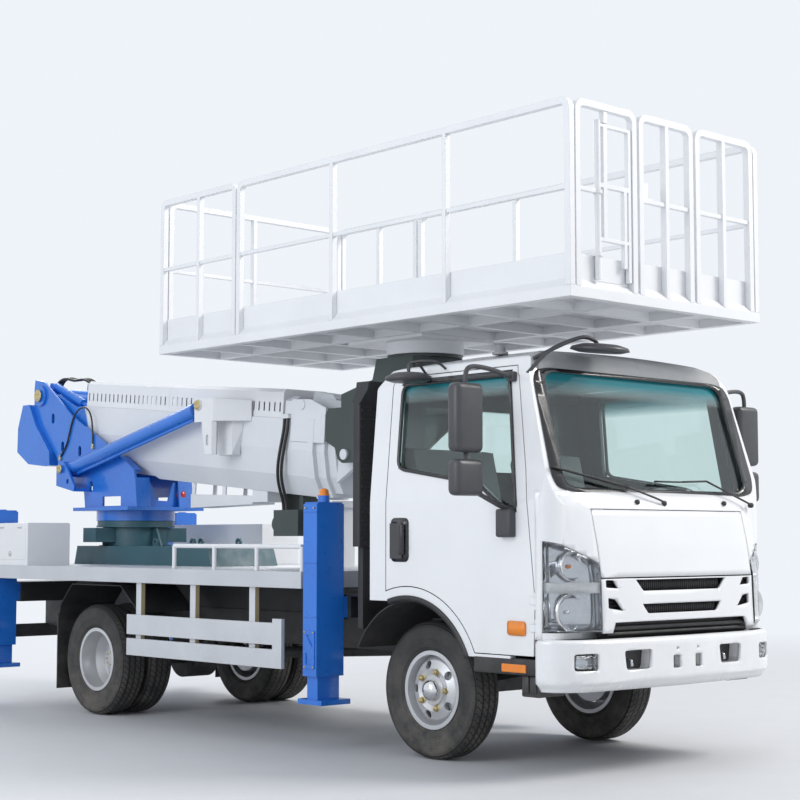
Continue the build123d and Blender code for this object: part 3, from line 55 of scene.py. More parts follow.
def addObject(name, data):
    piece = bpy.data.objects.new(name, data)
    bpy.context.scene.collection.objects.link(piece)
    return piece


# Camera, floor, background and lamps
cameraSetup = {
    "place": (9.13778, -7.28295, 1.24508),
    "turn": 47.75,
    "tilt": 4.75,
    "lens": 74.87,
}
cameraData = bpy.data.cameras.new("photoCamera")
cameraData.sensor_width = 36
cameraData.lens = cameraSetup["lens"]
camera = addObject("photoCamera", cameraData)
camera.location = cameraSetup["place"]
camera.rotation_euler = (radians(90 + cameraSetup["tilt"]), 0, radians(cameraSetup["turn"]))
bpy.context.scene.camera = camera

studio = {
    "backdrop": (0.86, 0.9, 0.95),
    "sky": (0.9, 0.94, 1.0),
    "floor": (0.62, 0.63, 0.65),
    "skyStrength": 0.62,
    "floorSize": 60,
    "fadeFrom": 3.0,
    "fadeTo": 13.0,
    # name, place, aim, size, watts, colour
    "lamps": [
        ("keyLamp", (9.0, 6.5, 9.5), (1.0, 0.0, 1.5), 5.0, 1150, (1.0, 0.97, 0.93)),
        ("fillLamp", (2.0, -11.0, 5.5), (0.5, 0.0, 1.5), 7.0, 520, (0.93, 0.96, 1.0)),
        ("rearLamp", (-9.0, 4.0, 7.0), (-1.0, 0.0, 1.5), 6.0, 420, (1.0, 1.0, 1.0)),
    ],
}


def addNode(tree, kind, values=None, **settings):
    # A node with values on its sockets and settings of its own
    node = tree.nodes.new("ShaderNode" + kind)
    for key, value in settings.items():
        setattr(node, key, value)
    for key, value in (values or {}).items():
        node.inputs[key].default_value = value
    return node


def linkNodes(tree, rows):
    # Each row is a node, its output, the next node and its input.
    for start, output, end, entry in rows:
        tree.links.new(start.outputs[output], end.inputs[entry])


def maskMath(tree, kind, first, second=None):
    # A math node; each input is a socket or a number.
    node = addNode(tree, "Math", operation=kind)
    for number, value in enumerate((first, second)):
        if isinstance(value, (int, float)):
            node.inputs[number].default_value = value
        elif value is not None:
            tree.links.new(value, node.inputs[number])
    return node.outputs[0]


world = bpy.data.worlds.new("studioWorld")
bpy.context.scene.world = world
world.use_nodes = True
worldTree = world.node_tree
worldTree.nodes.clear()
skyShade = addNode(worldTree, "Background", {"Color": (*studio["sky"], 1), "Strength": studio["skyStrength"]})
plainShade = addNode(worldTree, "Background", {"Color": (*studio["backdrop"], 1), "Strength": 1.0})
skyMix = addNode(worldTree, "MixShader")
worldOut = addNode(worldTree, "OutputWorld")
rays = addNode(worldTree, "LightPath").outputs
seen = maskMath(worldTree, "MAXIMUM", rays["Is Camera Ray"], rays["Is Glossy Ray"])
seen = maskMath(worldTree, "MAXIMUM", seen, rays["Is Transmission Ray"])
worldTree.links.new(seen, skyMix.inputs[0])
linkNodes(worldTree, [(skyShade, 0, skyMix, 1), (plainShade, 0, skyMix, 2), (skyMix, 0, worldOut, 0)])
for lampName, place, aim, size, watts, colour in studio["lamps"]:
    lampData = bpy.data.lights.new(lampName, "AREA")
    lampData.shape = "SQUARE"
    lampData.size = size
    lampData.energy = watts
    lampData.color = colour
    lamp = addObject(lampName, lampData)
    lamp.location = place
    lamp.rotation_euler = (Vector(aim) - Vector(place)).to_track_quat("-Z", "Y").to_euler()
print("stage: camera and lamps placed")


# Shader node groups that several materials share
def startGroup(name, inputs, outputs):
    # Inputs are names with values, and outputs are names with kinds of socket.
    group = bpy.data.node_groups.new(name, "ShaderNodeTree")
    for socketName, value in inputs.items():
        kind = "NodeSocketFloat" if isinstance(value, float) else "NodeSocketColor"
        group.interface.new_socket(socketName, in_out="INPUT", socket_type=kind).default_value = value
    for socketName, kind in outputs.items():
        group.interface.new_socket(socketName, in_out="OUTPUT", socket_type="NodeSocket" + kind)
    return group, group.nodes.new("NodeGroupInput"), group.nodes.new("NodeGroupOutput")


# Slow drift of a colour between two tones, with a finer mottle over it
toneGroup, toneIn, toneOut = startGroup(
    "toneDrift", {"Light": (1, 1, 1, 1), "Dark": (0.5, 0.5, 0.5, 1), "Scale": 3.0},
    {"Color": "Color", "Mask": "Float"})
place = addNode(toneGroup, "TexCoord")
broad = addNode(toneGroup, "TexNoise", {"Detail": 3.0, "Roughness": 0.55})
fine = addNode(toneGroup, "TexNoise", {"Scale": 90.0, "Detail": 2.0})
blendBoth = addNode(toneGroup, "Mix", {"Factor": 0.3}, data_type="FLOAT")
spread = addNode(toneGroup, "MapRange", {"From Min": 0.35, "From Max": 0.65})
mixTone = addNode(toneGroup, "Mix", data_type="RGBA")
linkNodes(toneGroup, [
    (place, "Object", broad, "Vector"), (place, "Object", fine, "Vector"),
    (toneIn, "Scale", broad, "Scale"),
    (broad, "Fac", blendBoth, 2), (fine, "Fac", blendBoth, 3),
    (blendBoth, 0, spread, "Value"), (spread, "Result", mixTone, 0),
    (toneIn, "Dark", mixTone, 6), (toneIn, "Light", mixTone, 7),
    (mixTone, 2, toneOut, "Color"), (spread, "Result", toneOut, "Mask"),
])

# Road dust that thins out with height
dustGroup, dustIn, dustOut = startGroup(
    "roadDust", {"Color": (1, 1, 1, 1), "Dust": (0.3, 0.27, 0.23, 1), "Top": 1.0, "Amount": 0.5},
    {"Color": "Color", "Mask": "Float"})
place = addNode(dustGroup, "TexCoord")
split = addNode(dustGroup, "SeparateXYZ")
height = addNode(dustGroup, "MapRange", {"From Min": 0.0, "To Min": 1.0, "To Max": 0.0})
patches = addNode(dustGroup, "TexNoise", {"Scale": 7.0, "Detail": 6.0, "Roughness": 0.65})
patchRange = addNode(dustGroup, "MapRange", {"From Min": 0.35, "From Max": 0.7})
heightPatch = addNode(dustGroup, "Math", operation="MULTIPLY")
allDust = addNode(dustGroup, "Math", operation="MULTIPLY")
mixDust = addNode(dustGroup, "Mix", data_type="RGBA")
linkNodes(dustGroup, [
    (place, "Object", split, 0), (split, "Z", height, "Value"),
    (dustIn, "Top", height, "From Max"), (place, "Object", patches, "Vector"),
    (patches, "Fac", patchRange, "Value"), (patchRange, "Result", heightPatch, 0),
    (height, "Result", heightPatch, 1), (heightPatch, 0, allDust, 0),
    (dustIn, "Amount", allDust, 1), (allDust, 0, mixDust, 0),
    (dustIn, "Color", mixDust, 6), (dustIn, "Dust", mixDust, 7),
    (mixDust, 2, dustOut, "Color"), (allDust, 0, dustOut, "Mask"),
])

# Roughness that varies a little, and more where dust lies
roughGroup, roughIn, roughOut = startGroup(
    "roughDrift", {"Low": 0.25, "High": 0.4, "Scale": 12.0, "Mask": 0.0},
    {"Roughness": "Float"})
place = addNode(roughGroup, "TexCoord")
smear = addNode(roughGroup, "TexNoise", {"Detail": 4.0})
smearRange = addNode(roughGroup, "MapRange", {"From Min": 0.3, "From Max": 0.7})
dull = addNode(roughGroup, "Mix", {3: 0.85}, data_type="FLOAT")
linkNodes(roughGroup, [
    (place, "Object", smear, "Vector"), (roughIn, "Scale", smear, "Scale"),
    (smear, "Fac", smearRange, "Value"), (roughIn, "Low", smearRange, "To Min"),
    (roughIn, "High", smearRange, "To Max"), (smearRange, "Result", dull, 2),
    (roughIn, "Mask", dull, 0), (dull, 0, roughOut, "Roughness"),
])

# Normals of softly rounded edges with a fine grain on the surface
edgeGroup, edgeIn, edgeOut = startGroup(
    "softEdge", {"Grain Scale": 400.0, "Grain": 0.1, "Depth": 0.0005},
    {"Normal": "Vector"})
place = addNode(edgeGroup, "TexCoord")
grain = addNode(edgeGroup, "TexNoise", {"Detail": 2.0})
rounded = addNode(edgeGroup, "Bevel", {"Radius": 0.004}, samples=4)
grainBump = addNode(edgeGroup, "Bump")
linkNodes(edgeGroup, [
    (place, "Object", grain, "Vector"), (edgeIn, "Grain Scale", grain, "Scale"),
    (grain, "Fac", grainBump, "Height"), (edgeIn, "Grain", grainBump, "Strength"),
    (edgeIn, "Depth", grainBump, "Distance"), (rounded, 0, grainBump, "Normal"),
    (grainBump, 0, edgeOut, "Normal"),
])


def groupNode(tree, group, values):
    return addNode(tree, "Group", values, node_tree=group)


def makeFinish(name, light, dark, rough, metal=0.0, coat=0.0, grain=(400.0, 0.1, 0.0005), dust=(1.0, 0.0)):
    # A material from the shared groups. Grain is scale, strength and depth; dust is top and amount.
    material = bpy.data.materials.new(name)
    material.use_nodes = True
    tree = material.node_tree
    shader = tree.nodes["Principled BSDF"]
    shader.inputs["Metallic"].default_value = metal
    shader.inputs["Coat Weight"].default_value = coat
    shader.inputs["Coat Roughness"].default_value = 0.08
    tone = groupNode(tree, toneGroup, {"Light": (*light, 1), "Dark": (*dark, 1)})
    dirt = groupNode(tree, dustGroup, {"Top": dust[0], "Amount": dust[1]})
    dull = groupNode(tree, roughGroup, {"Low": rough[0], "High": rough[1]})
    edge = groupNode(tree, edgeGroup, {"Grain Scale": grain[0], "Grain": grain[1], "Depth": grain[2]})
    linkNodes(tree, [
        (tone, "Color", dirt, "Color"), (dirt, "Color", shader, "Base Color"),
        (dirt, "Mask", dull, "Mask"), (dull, "Roughness", shader, "Roughness"),
        (edge, "Normal", shader, "Normal"),
    ])
    return material


cabWhite = ((0.83, 0.84, 0.86), (0.8, 0.81, 0.83), (0.16, 0.24), {"coat": 0.6, "dust": (1.0, 0.25)})
boomGrey = ((0.76, 0.78, 0.81), (0.71, 0.73, 0.76), (0.3, 0.44), {})
tyreBlack = ((0.034, 0.034, 0.035), (0.022, 0.022, 0.023), (0.6, 0.8),
             {"grain": (260.0, 0.4, 0.0008), "dust": (0.8, 0.45)})
looks = {
    # light tone, dark tone, least and most roughness, other settings of makeFinish
    "cabPaint": cabWhite,
    "shellPaint": cabWhite,
    "whiteCoat": ((0.8, 0.81, 0.83), (0.76, 0.77, 0.79), (0.34, 0.46), {"dust": (1.3, 0.2)}),
    "paleCoat": boomGrey,
    "boomRootPaint": boomGrey,
    "bluePaint": ((0.018, 0.185, 0.7), (0.015, 0.155, 0.62), (0.25, 0.38), {"coat": 0.4}),
    "tealPaint": ((0.035, 0.11, 0.14), (0.028, 0.09, 0.115), (0.35, 0.5), {}),
    "blackPaint": ((0.03, 0.031, 0.034), (0.02, 0.021, 0.023), (0.4, 0.6), {"dust": (0.9, 0.35)}),
    "darkPaint": ((0.05, 0.07, 0.065), (0.035, 0.05, 0.047), (0.35, 0.5), {}),
    "silverPaint": ((0.66, 0.67, 0.69), (0.58, 0.59, 0.61), (0.28, 0.4), {"metal": 0.55, "dust": (0.8, 0.3)}),
    "guardGrey": ((0.6, 0.62, 0.65), (0.53, 0.55, 0.58), (0.35, 0.5), {"metal": 0.15, "dust": (1.1, 0.2)}),
    "guardPaint": ((0.66, 0.68, 0.71), (0.58, 0.6, 0.63), (0.3, 0.45), {"metal": 0.2, "dust": (1.1, 0.2)}),
    "bareSteel": ((0.62, 0.62, 0.61), (0.5, 0.5, 0.49), (0.22, 0.38), {"metal": 1.0}),
    "chrome": ((0.75, 0.75, 0.76), (0.7, 0.7, 0.71), (0.06, 0.12), {"metal": 1.0}),
    "castIron": ((0.1, 0.1, 0.105), (0.05, 0.05, 0.053), (0.5, 0.7),
                 {"metal": 0.4, "grain": (160.0, 0.4, 0.001), "dust": (0.8, 0.5)}),
    "zincYellow": ((0.62, 0.5, 0.24), (0.5, 0.42, 0.24), (0.3, 0.5), {"metal": 0.7}),
    "blackPlastic": ((0.028, 0.028, 0.03), (0.02, 0.02, 0.022), (0.42, 0.6),
                     {"grain": (700.0, 0.5, 0.0006), "dust": (0.9, 0.35)}),
    "greyPlastic": ((0.34, 0.35, 0.36), (0.29, 0.3, 0.31), (0.5, 0.65), {"grain": (700.0, 0.5, 0.0006)}),
    "frontTyre": tyreBlack,
    "rearTyre": tyreBlack,
    "hoseRubber": ((0.022, 0.022, 0.023), (0.014, 0.014, 0.015), (0.35, 0.55), {"grain": (500.0, 0.3, 0.0005)}),
    "amberLens": ((0.9, 0.28, 0.02), (0.8, 0.22, 0.01), (0.1, 0.2), {"coat": 0.5}),
    "lampCase": ((0.6, 0.62, 0.65), (0.46, 0.48, 0.51), (0.12, 0.22), {"metal": 0.9}),
    "flutedGlass": ((0.86, 0.87, 0.88), (0.66, 0.68, 0.7), (0.15, 0.3), {"coat": 0.5}),
    "glossBlack": ((0.016, 0.016, 0.018), (0.012, 0.012, 0.013), (0.15, 0.3), {"coat": 0.3}),
    "greyBlack": ((0.062, 0.062, 0.068), (0.048, 0.048, 0.053), (0.32, 0.48), {"grain": (700.0, 0.4, 0.0005)}),
    "redLens": ((0.55, 0.01, 0.01), (0.45, 0.01, 0.01), (0.1, 0.2), {"coat": 0.5}),
    "floor": (studio["floor"], tuple(0.97 * part for part in studio["floor"]), (0.6, 0.7), {}),
}
finishes = {name: makeFinish(name, *look[:3], **look[3]) for name, look in looks.items()}


def makeGlass(name, colour, rough):
    material = bpy.data.materials.new(name)
    material.use_nodes = True
    tree = material.node_tree
    shader = tree.nodes["Principled BSDF"]
    shader.inputs["Transmission Weight"].default_value = 1.0
    shader.inputs["IOR"].default_value = 1.45
    dark = [0.96 * part for part in colour]
    tone = groupNode(tree, toneGroup, {"Light": (*colour, 1), "Dark": (*dark, 1), "Scale": 2.0})
    dull = groupNode(tree, roughGroup, {"Low": rough[0], "High": rough[1], "Scale": 3.0})
    linkNodes(tree, [(tone, "Color", shader, "Base Color"),
                     (dull, "Roughness", shader, "Roughness")])
    return material


def putBefore(material, entry, node, back, out=0):
    # Puts a node between an input of the material's shader and what feeds it.
    links = material.node_tree.links
    socket = material.node_tree.nodes["Principled BSDF"].inputs[entry]
    links.new(socket.links[0].from_socket, node.inputs[back])
    links.new(node.outputs[out], socket)


def paintOver(name, colour, mask):
    # Lays another colour over a finish where the mask, a function of the tree, gives 1.
    tree = finishes[name].node_tree
    over = addNode(tree, "Mix", {7: (*colour, 1)}, data_type="RGBA")
    tree.links.new(mask(tree), over.inputs[0])
    putBefore(finishes[name], "Base Color", over, 6, 2)


def placeAxes(tree):
    # The X, Y and Z sockets of the place that is shaded
    place = addNode(tree, "TexCoord")
    split = addNode(tree, "SeparateXYZ")
    linkNodes(tree, [(place, "Object", split, 0)])
    return split.outputs


def innerSide(tree):
    # 1 where a face looks towards the middle of the cab
    place = addNode(tree, "TexCoord")
    away = addNode(tree, "VectorMath", {1: (2.62, 0.0, 1.56)}, operation="SUBTRACT")
    facing = addNode(tree, "VectorMath", operation="DOT_PRODUCT")
    linkNodes(tree, [(place, "Object", away, 0), (away, 0, facing, 0), (place, "Normal", facing, 1)])
    return maskMath(tree, "LESS_THAN", facing.outputs["Value"], 0.0)


def pastLine(point, across, soft):
    # 1 beyond a line through an (X, Z) point, on the side that the (X, Z) direction across points to
    def mask(tree):
        axes = placeAxes(tree)
        parts = [maskMath(tree, "MULTIPLY", maskMath(tree, "SUBTRACT", axes[axis], start), share)
                 for axis, start, share in zip("XZ", point, across)]
        ease = addNode(tree, "MapRange", {"From Min": -soft, "From Max": soft})
        tree.links.new(maskMath(tree, "ADD", *parts), ease.inputs["Value"])
        return ease.outputs["Result"]
    return mask


def insideBox(**limits):
    # 1 inside the limits given for X, Y and Z, on both sides of the middle plane
    def mask(tree):
        axes = placeAxes(tree)
        total = 1.0
        for axis, (least, most) in limits.items():
            value = maskMath(tree, "ABSOLUTE", axes[axis]) if axis == "Y" else axes[axis]
            for kind, limit in (("GREATER_THAN", least), ("LESS_THAN", most)):
                total = maskMath(tree, "MULTIPLY", total, maskMath(tree, kind, value, limit))
        return total
    return mask


# Tyre tread: grooves round the tyre, cross cuts, and rings and ribs on the side walls as bumps, with painted
# shade in the grooves
tyre = {
    "axleZ": 0.3875, "frontX": 2.2, "frontY": 0.665, "rearY": 0.7725,
    # radii between which the tread and the side wall's ribs set in
    "treadFrom": (0.366, 0.372), "ribsFrom": (0.345, 0.349),
    # distance between grooves and between rings, and how many cuts and ribs go round
    "grooveGap": 0.045, "ringGap": 0.016, "cuts": 62, "ribs": 124,
    "zigzag": 1.6, "depth": 0.008,
}
treadGroup, treadIn, treadOut = startGroup(
    "tyreTread", {"Axle X": 0.0, "Middle": 0.665},
    {"Height": "Float", "Groove Shade": "Float"})


def treadMath(kind, first, second=None):
    return maskMath(treadGroup, kind, first, second)


def times(first, second):
    return treadMath("MULTIPLY", first, second)


def treadStep(value, low, high):
    ease = addNode(treadGroup, "MapRange", {"From Min": low, "From Max": high})
    treadGroup.links.new(value, ease.inputs["Value"])
    return ease.outputs["Result"]


axes = placeAxes(treadGroup)
ahead = treadMath("SUBTRACT", axes["X"], treadIn.outputs["Axle X"])
above = treadMath("SUBTRACT", axes["Z"], tyre["axleZ"])
reach = treadMath("SQRT", treadMath("ADD", times(ahead, ahead), times(above, above)))
around = treadMath("ARCTAN2", above, ahead)
aside = treadMath("SUBTRACT", treadMath("ABSOLUTE", axes["Y"]), treadIn.outputs["Middle"])
across = times(aside, 2 * pi / tyre["grooveGap"])
tread = treadStep(reach, *tyre["treadFrom"])
rings = treadStep(treadMath("COSINE", across), 0.55, 0.8)
zigzag = treadMath("ADD", times(around, tyre["cuts"]), times(treadMath("SINE", across), tyre["zigzag"]))
cuts = treadStep(treadMath("COSINE", zigzag), 0.8, 0.93)
groove = times(treadMath("MAXIMUM", rings, cuts), tread)
wall = times(treadMath("SINE", times(reach, 2 * pi / tyre["ringGap"])), 0.06)
ribs = treadStep(treadMath("COSINE", times(around, tyre["ribs"])), -0.2, 0.2)
ribs = times(ribs, times(treadStep(reach, *tyre["ribsFrom"]), 0.25))
side = times(treadMath("ADD", wall, ribs), treadMath("SUBTRACT", 1.0, tread))
height = treadMath("ADD", treadMath("SUBTRACT", 1.0, groove), side)
treadGroup.links.new(height, treadOut.inputs["Height"])
# The groove mask, which treadTyre uses to paint shade into the grooves
treadGroup.links.new(groove, treadOut.inputs["Groove Shade"])


def treadTyre(name, axleX, middle):
    tree = finishes[name].node_tree
    pattern = groupNode(tree, treadGroup, {"Axle X": axleX, "Middle": middle})
    bump = addNode(tree, "Bump", {"Strength": 0.9, "Distance": tyre["depth"]})
    linkNodes(tree, [(pattern, "Height", bump, "Height")])
    putBefore(finishes[name], "Normal", bump, "Normal")
    # Painted shade: the grooves are painted near black, as if in shadow
    paintOver(name, (0.008, 0.008, 0.008), lambda tree: pattern.outputs["Groove Shade"])


rearLow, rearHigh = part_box("rear_tyres_right")
rearX = (rearLow[0] + rearHigh[0]) / 2
treadTyre("frontTyre", tyre["frontX"], tyre["frontY"])
treadTyre("rearTyre", rearX, tyre["rearY"])
for name, colour, mask in (
    # The cab's dark inside, the door handles' recess, the boom's blue root, the guards' bare inside
    ("shellPaint", (0.08, 0.085, 0.094), innerSide),
    ("shellPaint", (0.016, 0.016, 0.018), insideBox(X=(2.062, 2.214), Y=(0.9252, 1.0), Z=(1.112, 1.362))),
    ("boomRootPaint", (0.017, 0.175, 0.67), pastLine((-2.398, 2.303), (-1.0, -0.338), 0.002)),
    ("guardPaint", (0.52, 0.43, 0.24), insideBox(Y=(-1.0, 0.9719))),
):
    paintOver(name, colour, mask)

# Glass, with a tinted band along the top of the windows
finishes["windowGlass"] = makeGlass("windowGlass", (0.8, 0.9, 0.88), (0.0, 0.02))
finishes["lampGlass"] = makeGlass("lampGlass", (0.95, 0.96, 0.97), (0.0, 0.03))
sunBand = pastLine((3.1, 2.055), (0.0, 1.0), 0.045)
paintOver("windowGlass", (0.03, 0.34, 0.4), sunBand)
glassTree = finishes["windowGlass"].node_tree
clearness = addNode(glassTree, "MapRange", {"To Min": 1.0, "To Max": 0.45})
glassTree.links.new(sunBand(glassTree), clearness.inputs["Value"])
linkNodes(glassTree, [(clearness, "Result", glassTree.nodes["Principled BSDF"], "Transmission Weight")])

# Which finish each CAD node takes, by its slot and then by its own name
slotFinish = {
    "white_paint": "cabPaint", "white_coat": "whiteCoat", "blue_paint": "bluePaint", "boom_paint": "paleCoat",
    "teal_paint": "tealPaint", "black_paint": "blackPaint", "dark_paint": "darkPaint",
    "silver_paint": "silverPaint", "grey_coat": "guardGrey", "steel": "chrome",
    "black_plastic": "blackPlastic", "seat_cloth": "greyPlastic", "window_glass": "windowGlass",
    "lamp_glass": "lampGlass", "iron": "castIron",
}
# The finish that some CAD nodes take by their own name, in place of their slot's finish
nodeFinish = {
    "fuel_tank": "blackPaint", "cab_shell": "shellPaint", "door_left": "shellPaint", "door_right": "shellPaint",
    "boom_base": "boomRootPaint", "side_guards": "guardPaint", "turret_hoses": "hoseRubber",
    "boom_hoses": "hoseRubber", "front_tyre_left": "frontTyre", "front_tyre_right": "frontTyre",
    "rear_tyres_left": "rearTyre", "rear_tyres_right": "rearTyre",
}


def dress(piece, finish):
    piece.data.materials.clear()
    piece.data.materials.append(finishes[finish])


for part in frame["record"]["subparts"]:
    name = part["node"]
    dress(nodes[name], nodeFinish.get(name) or slotFinish[part["material_slot"]])
print("stage: CAD nodes dressed")


def meshObject(mesh, name):
    data = bpy.data.meshes.new(name)
    mesh.to_mesh(data)
    mesh.free()
    return addObject(name, data)


# Each new piece starts as a bmesh, and finishPiece turns it into an object on a body
def finishPiece(mesh, name, finish, smooth=False, body="chassis", replaces=()):
    bmesh.ops.recalc_face_normals(mesh, faces=mesh.faces)
    piece = meshObject(mesh, name)
    for polygon in piece.data.polygons:
        polygon.use_smooth = smooth
    dress(piece, finish)
    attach(piece, body)
    if replaces:
        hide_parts(*replaces)
    return piece


# Mesh helpers. Every coordinate is in metres in the truck's own frame.
def addBox(mesh, low, high, soft=0.0, steps=2):
    made = bmesh.ops.create_cube(mesh, size=1.0)["verts"]
    for vert in made:
        vert.co = Vector([low[axis] + (vert.co[axis] + 0.5) * (high[axis] - low[axis]) for axis in range(3)])
    if soft:
        edges = {edge for vert in made for edge in vert.link_edges}
        bmesh.ops.bevel(mesh, geom=list(edges), offset=soft, segments=steps, profile=0.5, affect="EDGES")


def ringOf(spot, radius, first, second, count):
    turns = [2 * pi * step / count for step in range(count)]
    return [spot + radius * (cos(turn) * first + sin(turn) * second) for turn in turns]


def joinRings(mesh, near, far):
    # Faces between two rings of vertices, of which one may be a single vertex
    count = max(len(near), len(far))
    for step in range(count):
        after = (step + 1) % count
        corners = [near[step % len(near)], near[after % len(near)], far[after % len(far)], far[step % len(far)]]
        mesh.faces.new(list(dict.fromkeys(corners)))


def addTurned(mesh, centre, axis, profile, count=24):
    # Turns a table of (distance along the axis, radius) points about the axis through centre.
    axis = Vector(axis).normalized()
    first = axis.orthogonal().normalized()
    second = axis.cross(first)
    rings = []
    for along, radius in profile:
        spot = Vector(centre) + axis * along
        spots = [spot] if radius < 1e-6 else ringOf(spot, radius, first, second, count)
        rings.append([mesh.verts.new(spot) for spot in spots])
    for near, far in zip(rings, rings[1:]):
        joinRings(mesh, near, far)


def addRod(mesh, start, end, radius, count=12, soft=0.0):
    length = (Vector(end) - Vector(start)).length
    soft = min(soft, 0.45 * length, 0.8 * radius)
    middle = [(soft, radius), (length - soft, radius)] if soft else []
    profile = [(0, 0), (0, radius - soft)] + middle + [(length, radius - soft), (length, 0)]
    addTurned(mesh, start, Vector(end) - Vector(start), profile, count)


def smoothLine(points, steps=6):
    # A Catmull-Rom curve through the points.
    spots = [Vector(point) for point in points]
    spots = [2 * spots[0] - spots[1]] + spots + [2 * spots[-1] - spots[-2]]
    line = []
    for number in range(1, len(spots) - 2):
        before, here, after, beyond = spots[number - 1:number + 3]
        for step in range(steps):
            part = step / steps
            line.append(0.5 * (2 * here + (after - before) * part
                               + (2 * before - 5 * here + 4 * after - beyond) * part ** 2
                               + (3 * here - before - 3 * after + beyond) * part ** 3))
    line.append(spots[-2])
    return line


def addTube(mesh, points, radius, count=10, closed=False, squeeze=1.0):
    spots = [Vector(point) for point in points]
    total = len(spots)
    rings = []
    side = None
    for number, spot in enumerate(spots):
        before = spots[number - 1] if number or closed else spot
        after = spots[(number + 1) % total] if number < total - 1 or closed else spot
        run = (after - before).normalized()
        side = run.orthogonal().normalized() if side is None else (side - run * side.dot(run)).normalized()
        up = run.cross(side)
        rings.append([mesh.verts.new(spot) for spot in ringOf(spot, radius, side, squeeze * up, count)])
    for near, far in list(zip(rings, rings[1:])) + ([(rings[-1], rings[0])] if closed else []):
        joinRings(mesh, near, far)
    if not closed:
        mesh.faces.new(rings[0])
        mesh.faces.new(rings[-1])


def addSheet(mesh, outer, place, thick, step=0.03, holes=()):
    # A sheet inside the outer (a, b) outline, less the holes, cut finely and laid out by place(a, b, depth).
    flat = bmesh.new()
    edges = []
    for loop in [outer] + list(holes):
        verts = [flat.verts.new((a, b, 0)) for a, b in loop]
        edges += [flat.edges.new((verts[n - 1], verts[n])) for n in range(len(verts))]
    bmesh.ops.triangle_fill(flat, use_beauty=True, use_dissolve=False, edges=edges)
    for axis in (0, 1):
        values = [vert.co[axis] for vert in flat.verts]
        low, high = min(values), max(values)
        count = max(1, int((high - low) / step))
        for cut in range(1, count):
            where = [0.0, 0.0, 0.0]
            where[axis] = low + (high - low) * cut / count
            normal = [0.0, 0.0, 0.0]
            normal[axis] = 1.0
            bmesh.ops.bisect_plane(flat, geom=flat.verts[:] + flat.edges[:] + flat.faces[:], dist=1e-6,
                                   plane_co=where, plane_no=normal)
    bmesh.ops.remove_doubles(flat, verts=flat.verts[:], dist=1e-5)
    front, back = ({vert: mesh.verts.new(place(vert.co[0], vert.co[1], depth)) for vert in flat.verts}
                   for depth in (0.0, thick))
    for face in flat.faces:
        mesh.faces.new([front[vert] for vert in face.verts])
        mesh.faces.new([back[vert] for vert in reversed(face.verts)])
    for edge in flat.edges:
        if len(edge.link_faces) == 1:
            one, two = edge.verts
            mesh.faces.new((front[one], front[two], back[two], back[one]))
    flat.free()


def addWalls(mesh, outline, place, near, far, count=1):
    # Walls from one depth to another along the whole outline.
    for (a, b), (c, d) in zip(outline, outline[1:] + outline[:1]):
        shares = [step / count for step in range(count + 1)]
        line = [(a + (c - a) * share, b + (d - b) * share) for share in shares]
        rows = [[place(*spot, depth) for spot in line] for depth in (near, far)]
        for k in range(count):
            spots = (rows[0][k], rows[0][k + 1], rows[1][k + 1], rows[1][k])
            mesh.faces.new([mesh.verts.new(spot) for spot in spots])


def sunk(place, start):
    # The same surface, further in by start
    return lambda a, b, depth: place(a, b, start + depth)


def flatSide(side, y):
    # A flat upright surface at y on one side of the truck
    return lambda x, z, depth: Vector((x, side * (y - depth), z))


def rectangle(lowA, highA, lowB, highB):
    return [(lowA, lowB), (highA, lowB), (highA, highB), (lowA, highB)]


def mirrored(outline):
    return [(-a, b) for a, b in reversed(outline)]


def circleSpots(centre, side, radius, count, start=0.0):
    # Places round a circle about a crosswise axis, on one side of the truck
    x, y, z = centre
    turns = [start + 2 * pi * number / count for number in range(count)]
    return [Vector((x + radius * cos(turn), side * y, z + radius * sin(turn))) for turn in turns]


def roundedLoop(points, radius, steps=5):
    # The outline with its corners rounded.
    spots = [Vector((a, b)) for a, b in points]
    loop = []
    for number, corner in enumerate(spots):
        before = spots[number - 1] - corner
        after = spots[(number + 1) % len(spots)] - corner
        reach = min(radius, 0.45 * before.length, 0.45 * after.length)
        start, end = corner + before.normalized() * reach, corner + after.normalized() * reach
        for step in range(steps + 1):
            part = step / steps
            loop.append(tuple((1 - part) ** 2 * start + 2 * part * (1 - part) * corner + part ** 2 * end))
    return loop


def readTable(table, value, column=1):
    if value <= table[0][0]:
        return table[0][column]
    for low, high in zip(table, table[1:]):
        if value <= high[0]:
            return low[column] + (high[column] - low[column]) * (value - low[0]) / (high[0] - low[0])
    return table[-1][column]


# The cab's front stands proud of the CAD shell: a bowed nose that sweeps back through the lamps to the doors
nose = {
    # height, how far forward the middle line is
    "profile": [(0.44, 3.425), (0.722, 3.425), (1.036, 3.413), (1.2, 3.386), (1.397, 3.34), (1.437, 3.324),
                (1.497, 3.277)],
    # way round from the middle, distance from the middle, how much of the way back to the door
    "plan": [(0.0, 0.0, 0.0), (0.4, 0.4, 0.018), (0.6, 0.6, 0.04), (0.66, 0.66, 0.075), (0.7, 0.699, 0.13),
             (0.8, 0.792, 0.335), (0.88, 0.862, 0.52), (0.93, 0.899, 0.66), (0.97, 0.922, 0.8),
             (1.0, 0.9305, 0.93), (1.02, 0.9315, 1.0)],
    "doorEdge": 3.187,
    "lidHalf": 0.648,
    "lidRange": (1.04, 1.396),
    "lampOutline": [(0.656, 0.764), (0.652, 1.108), (0.69, 1.134), (0.905, 1.234), (0.968, 1.23),
                    (0.974, 0.764)],
    "splitBand": (0.96, 1.016),
}


def shellFront(y, z):
    # How far forward the CAD shell is at this place.
    side = readTable([(1.05, 3.312), (1.4, 3.3), (1.495, 3.272), (2.15, 3.085)], z)
    plan = 3.318 - 0.03 * (y / 0.931) ** 2
    if abs(y) > 0.821:
        plan = 3.178 + max(0.0, 0.11 ** 2 - (abs(y) - 0.821) ** 2) ** 0.5
    return min(side, plan)


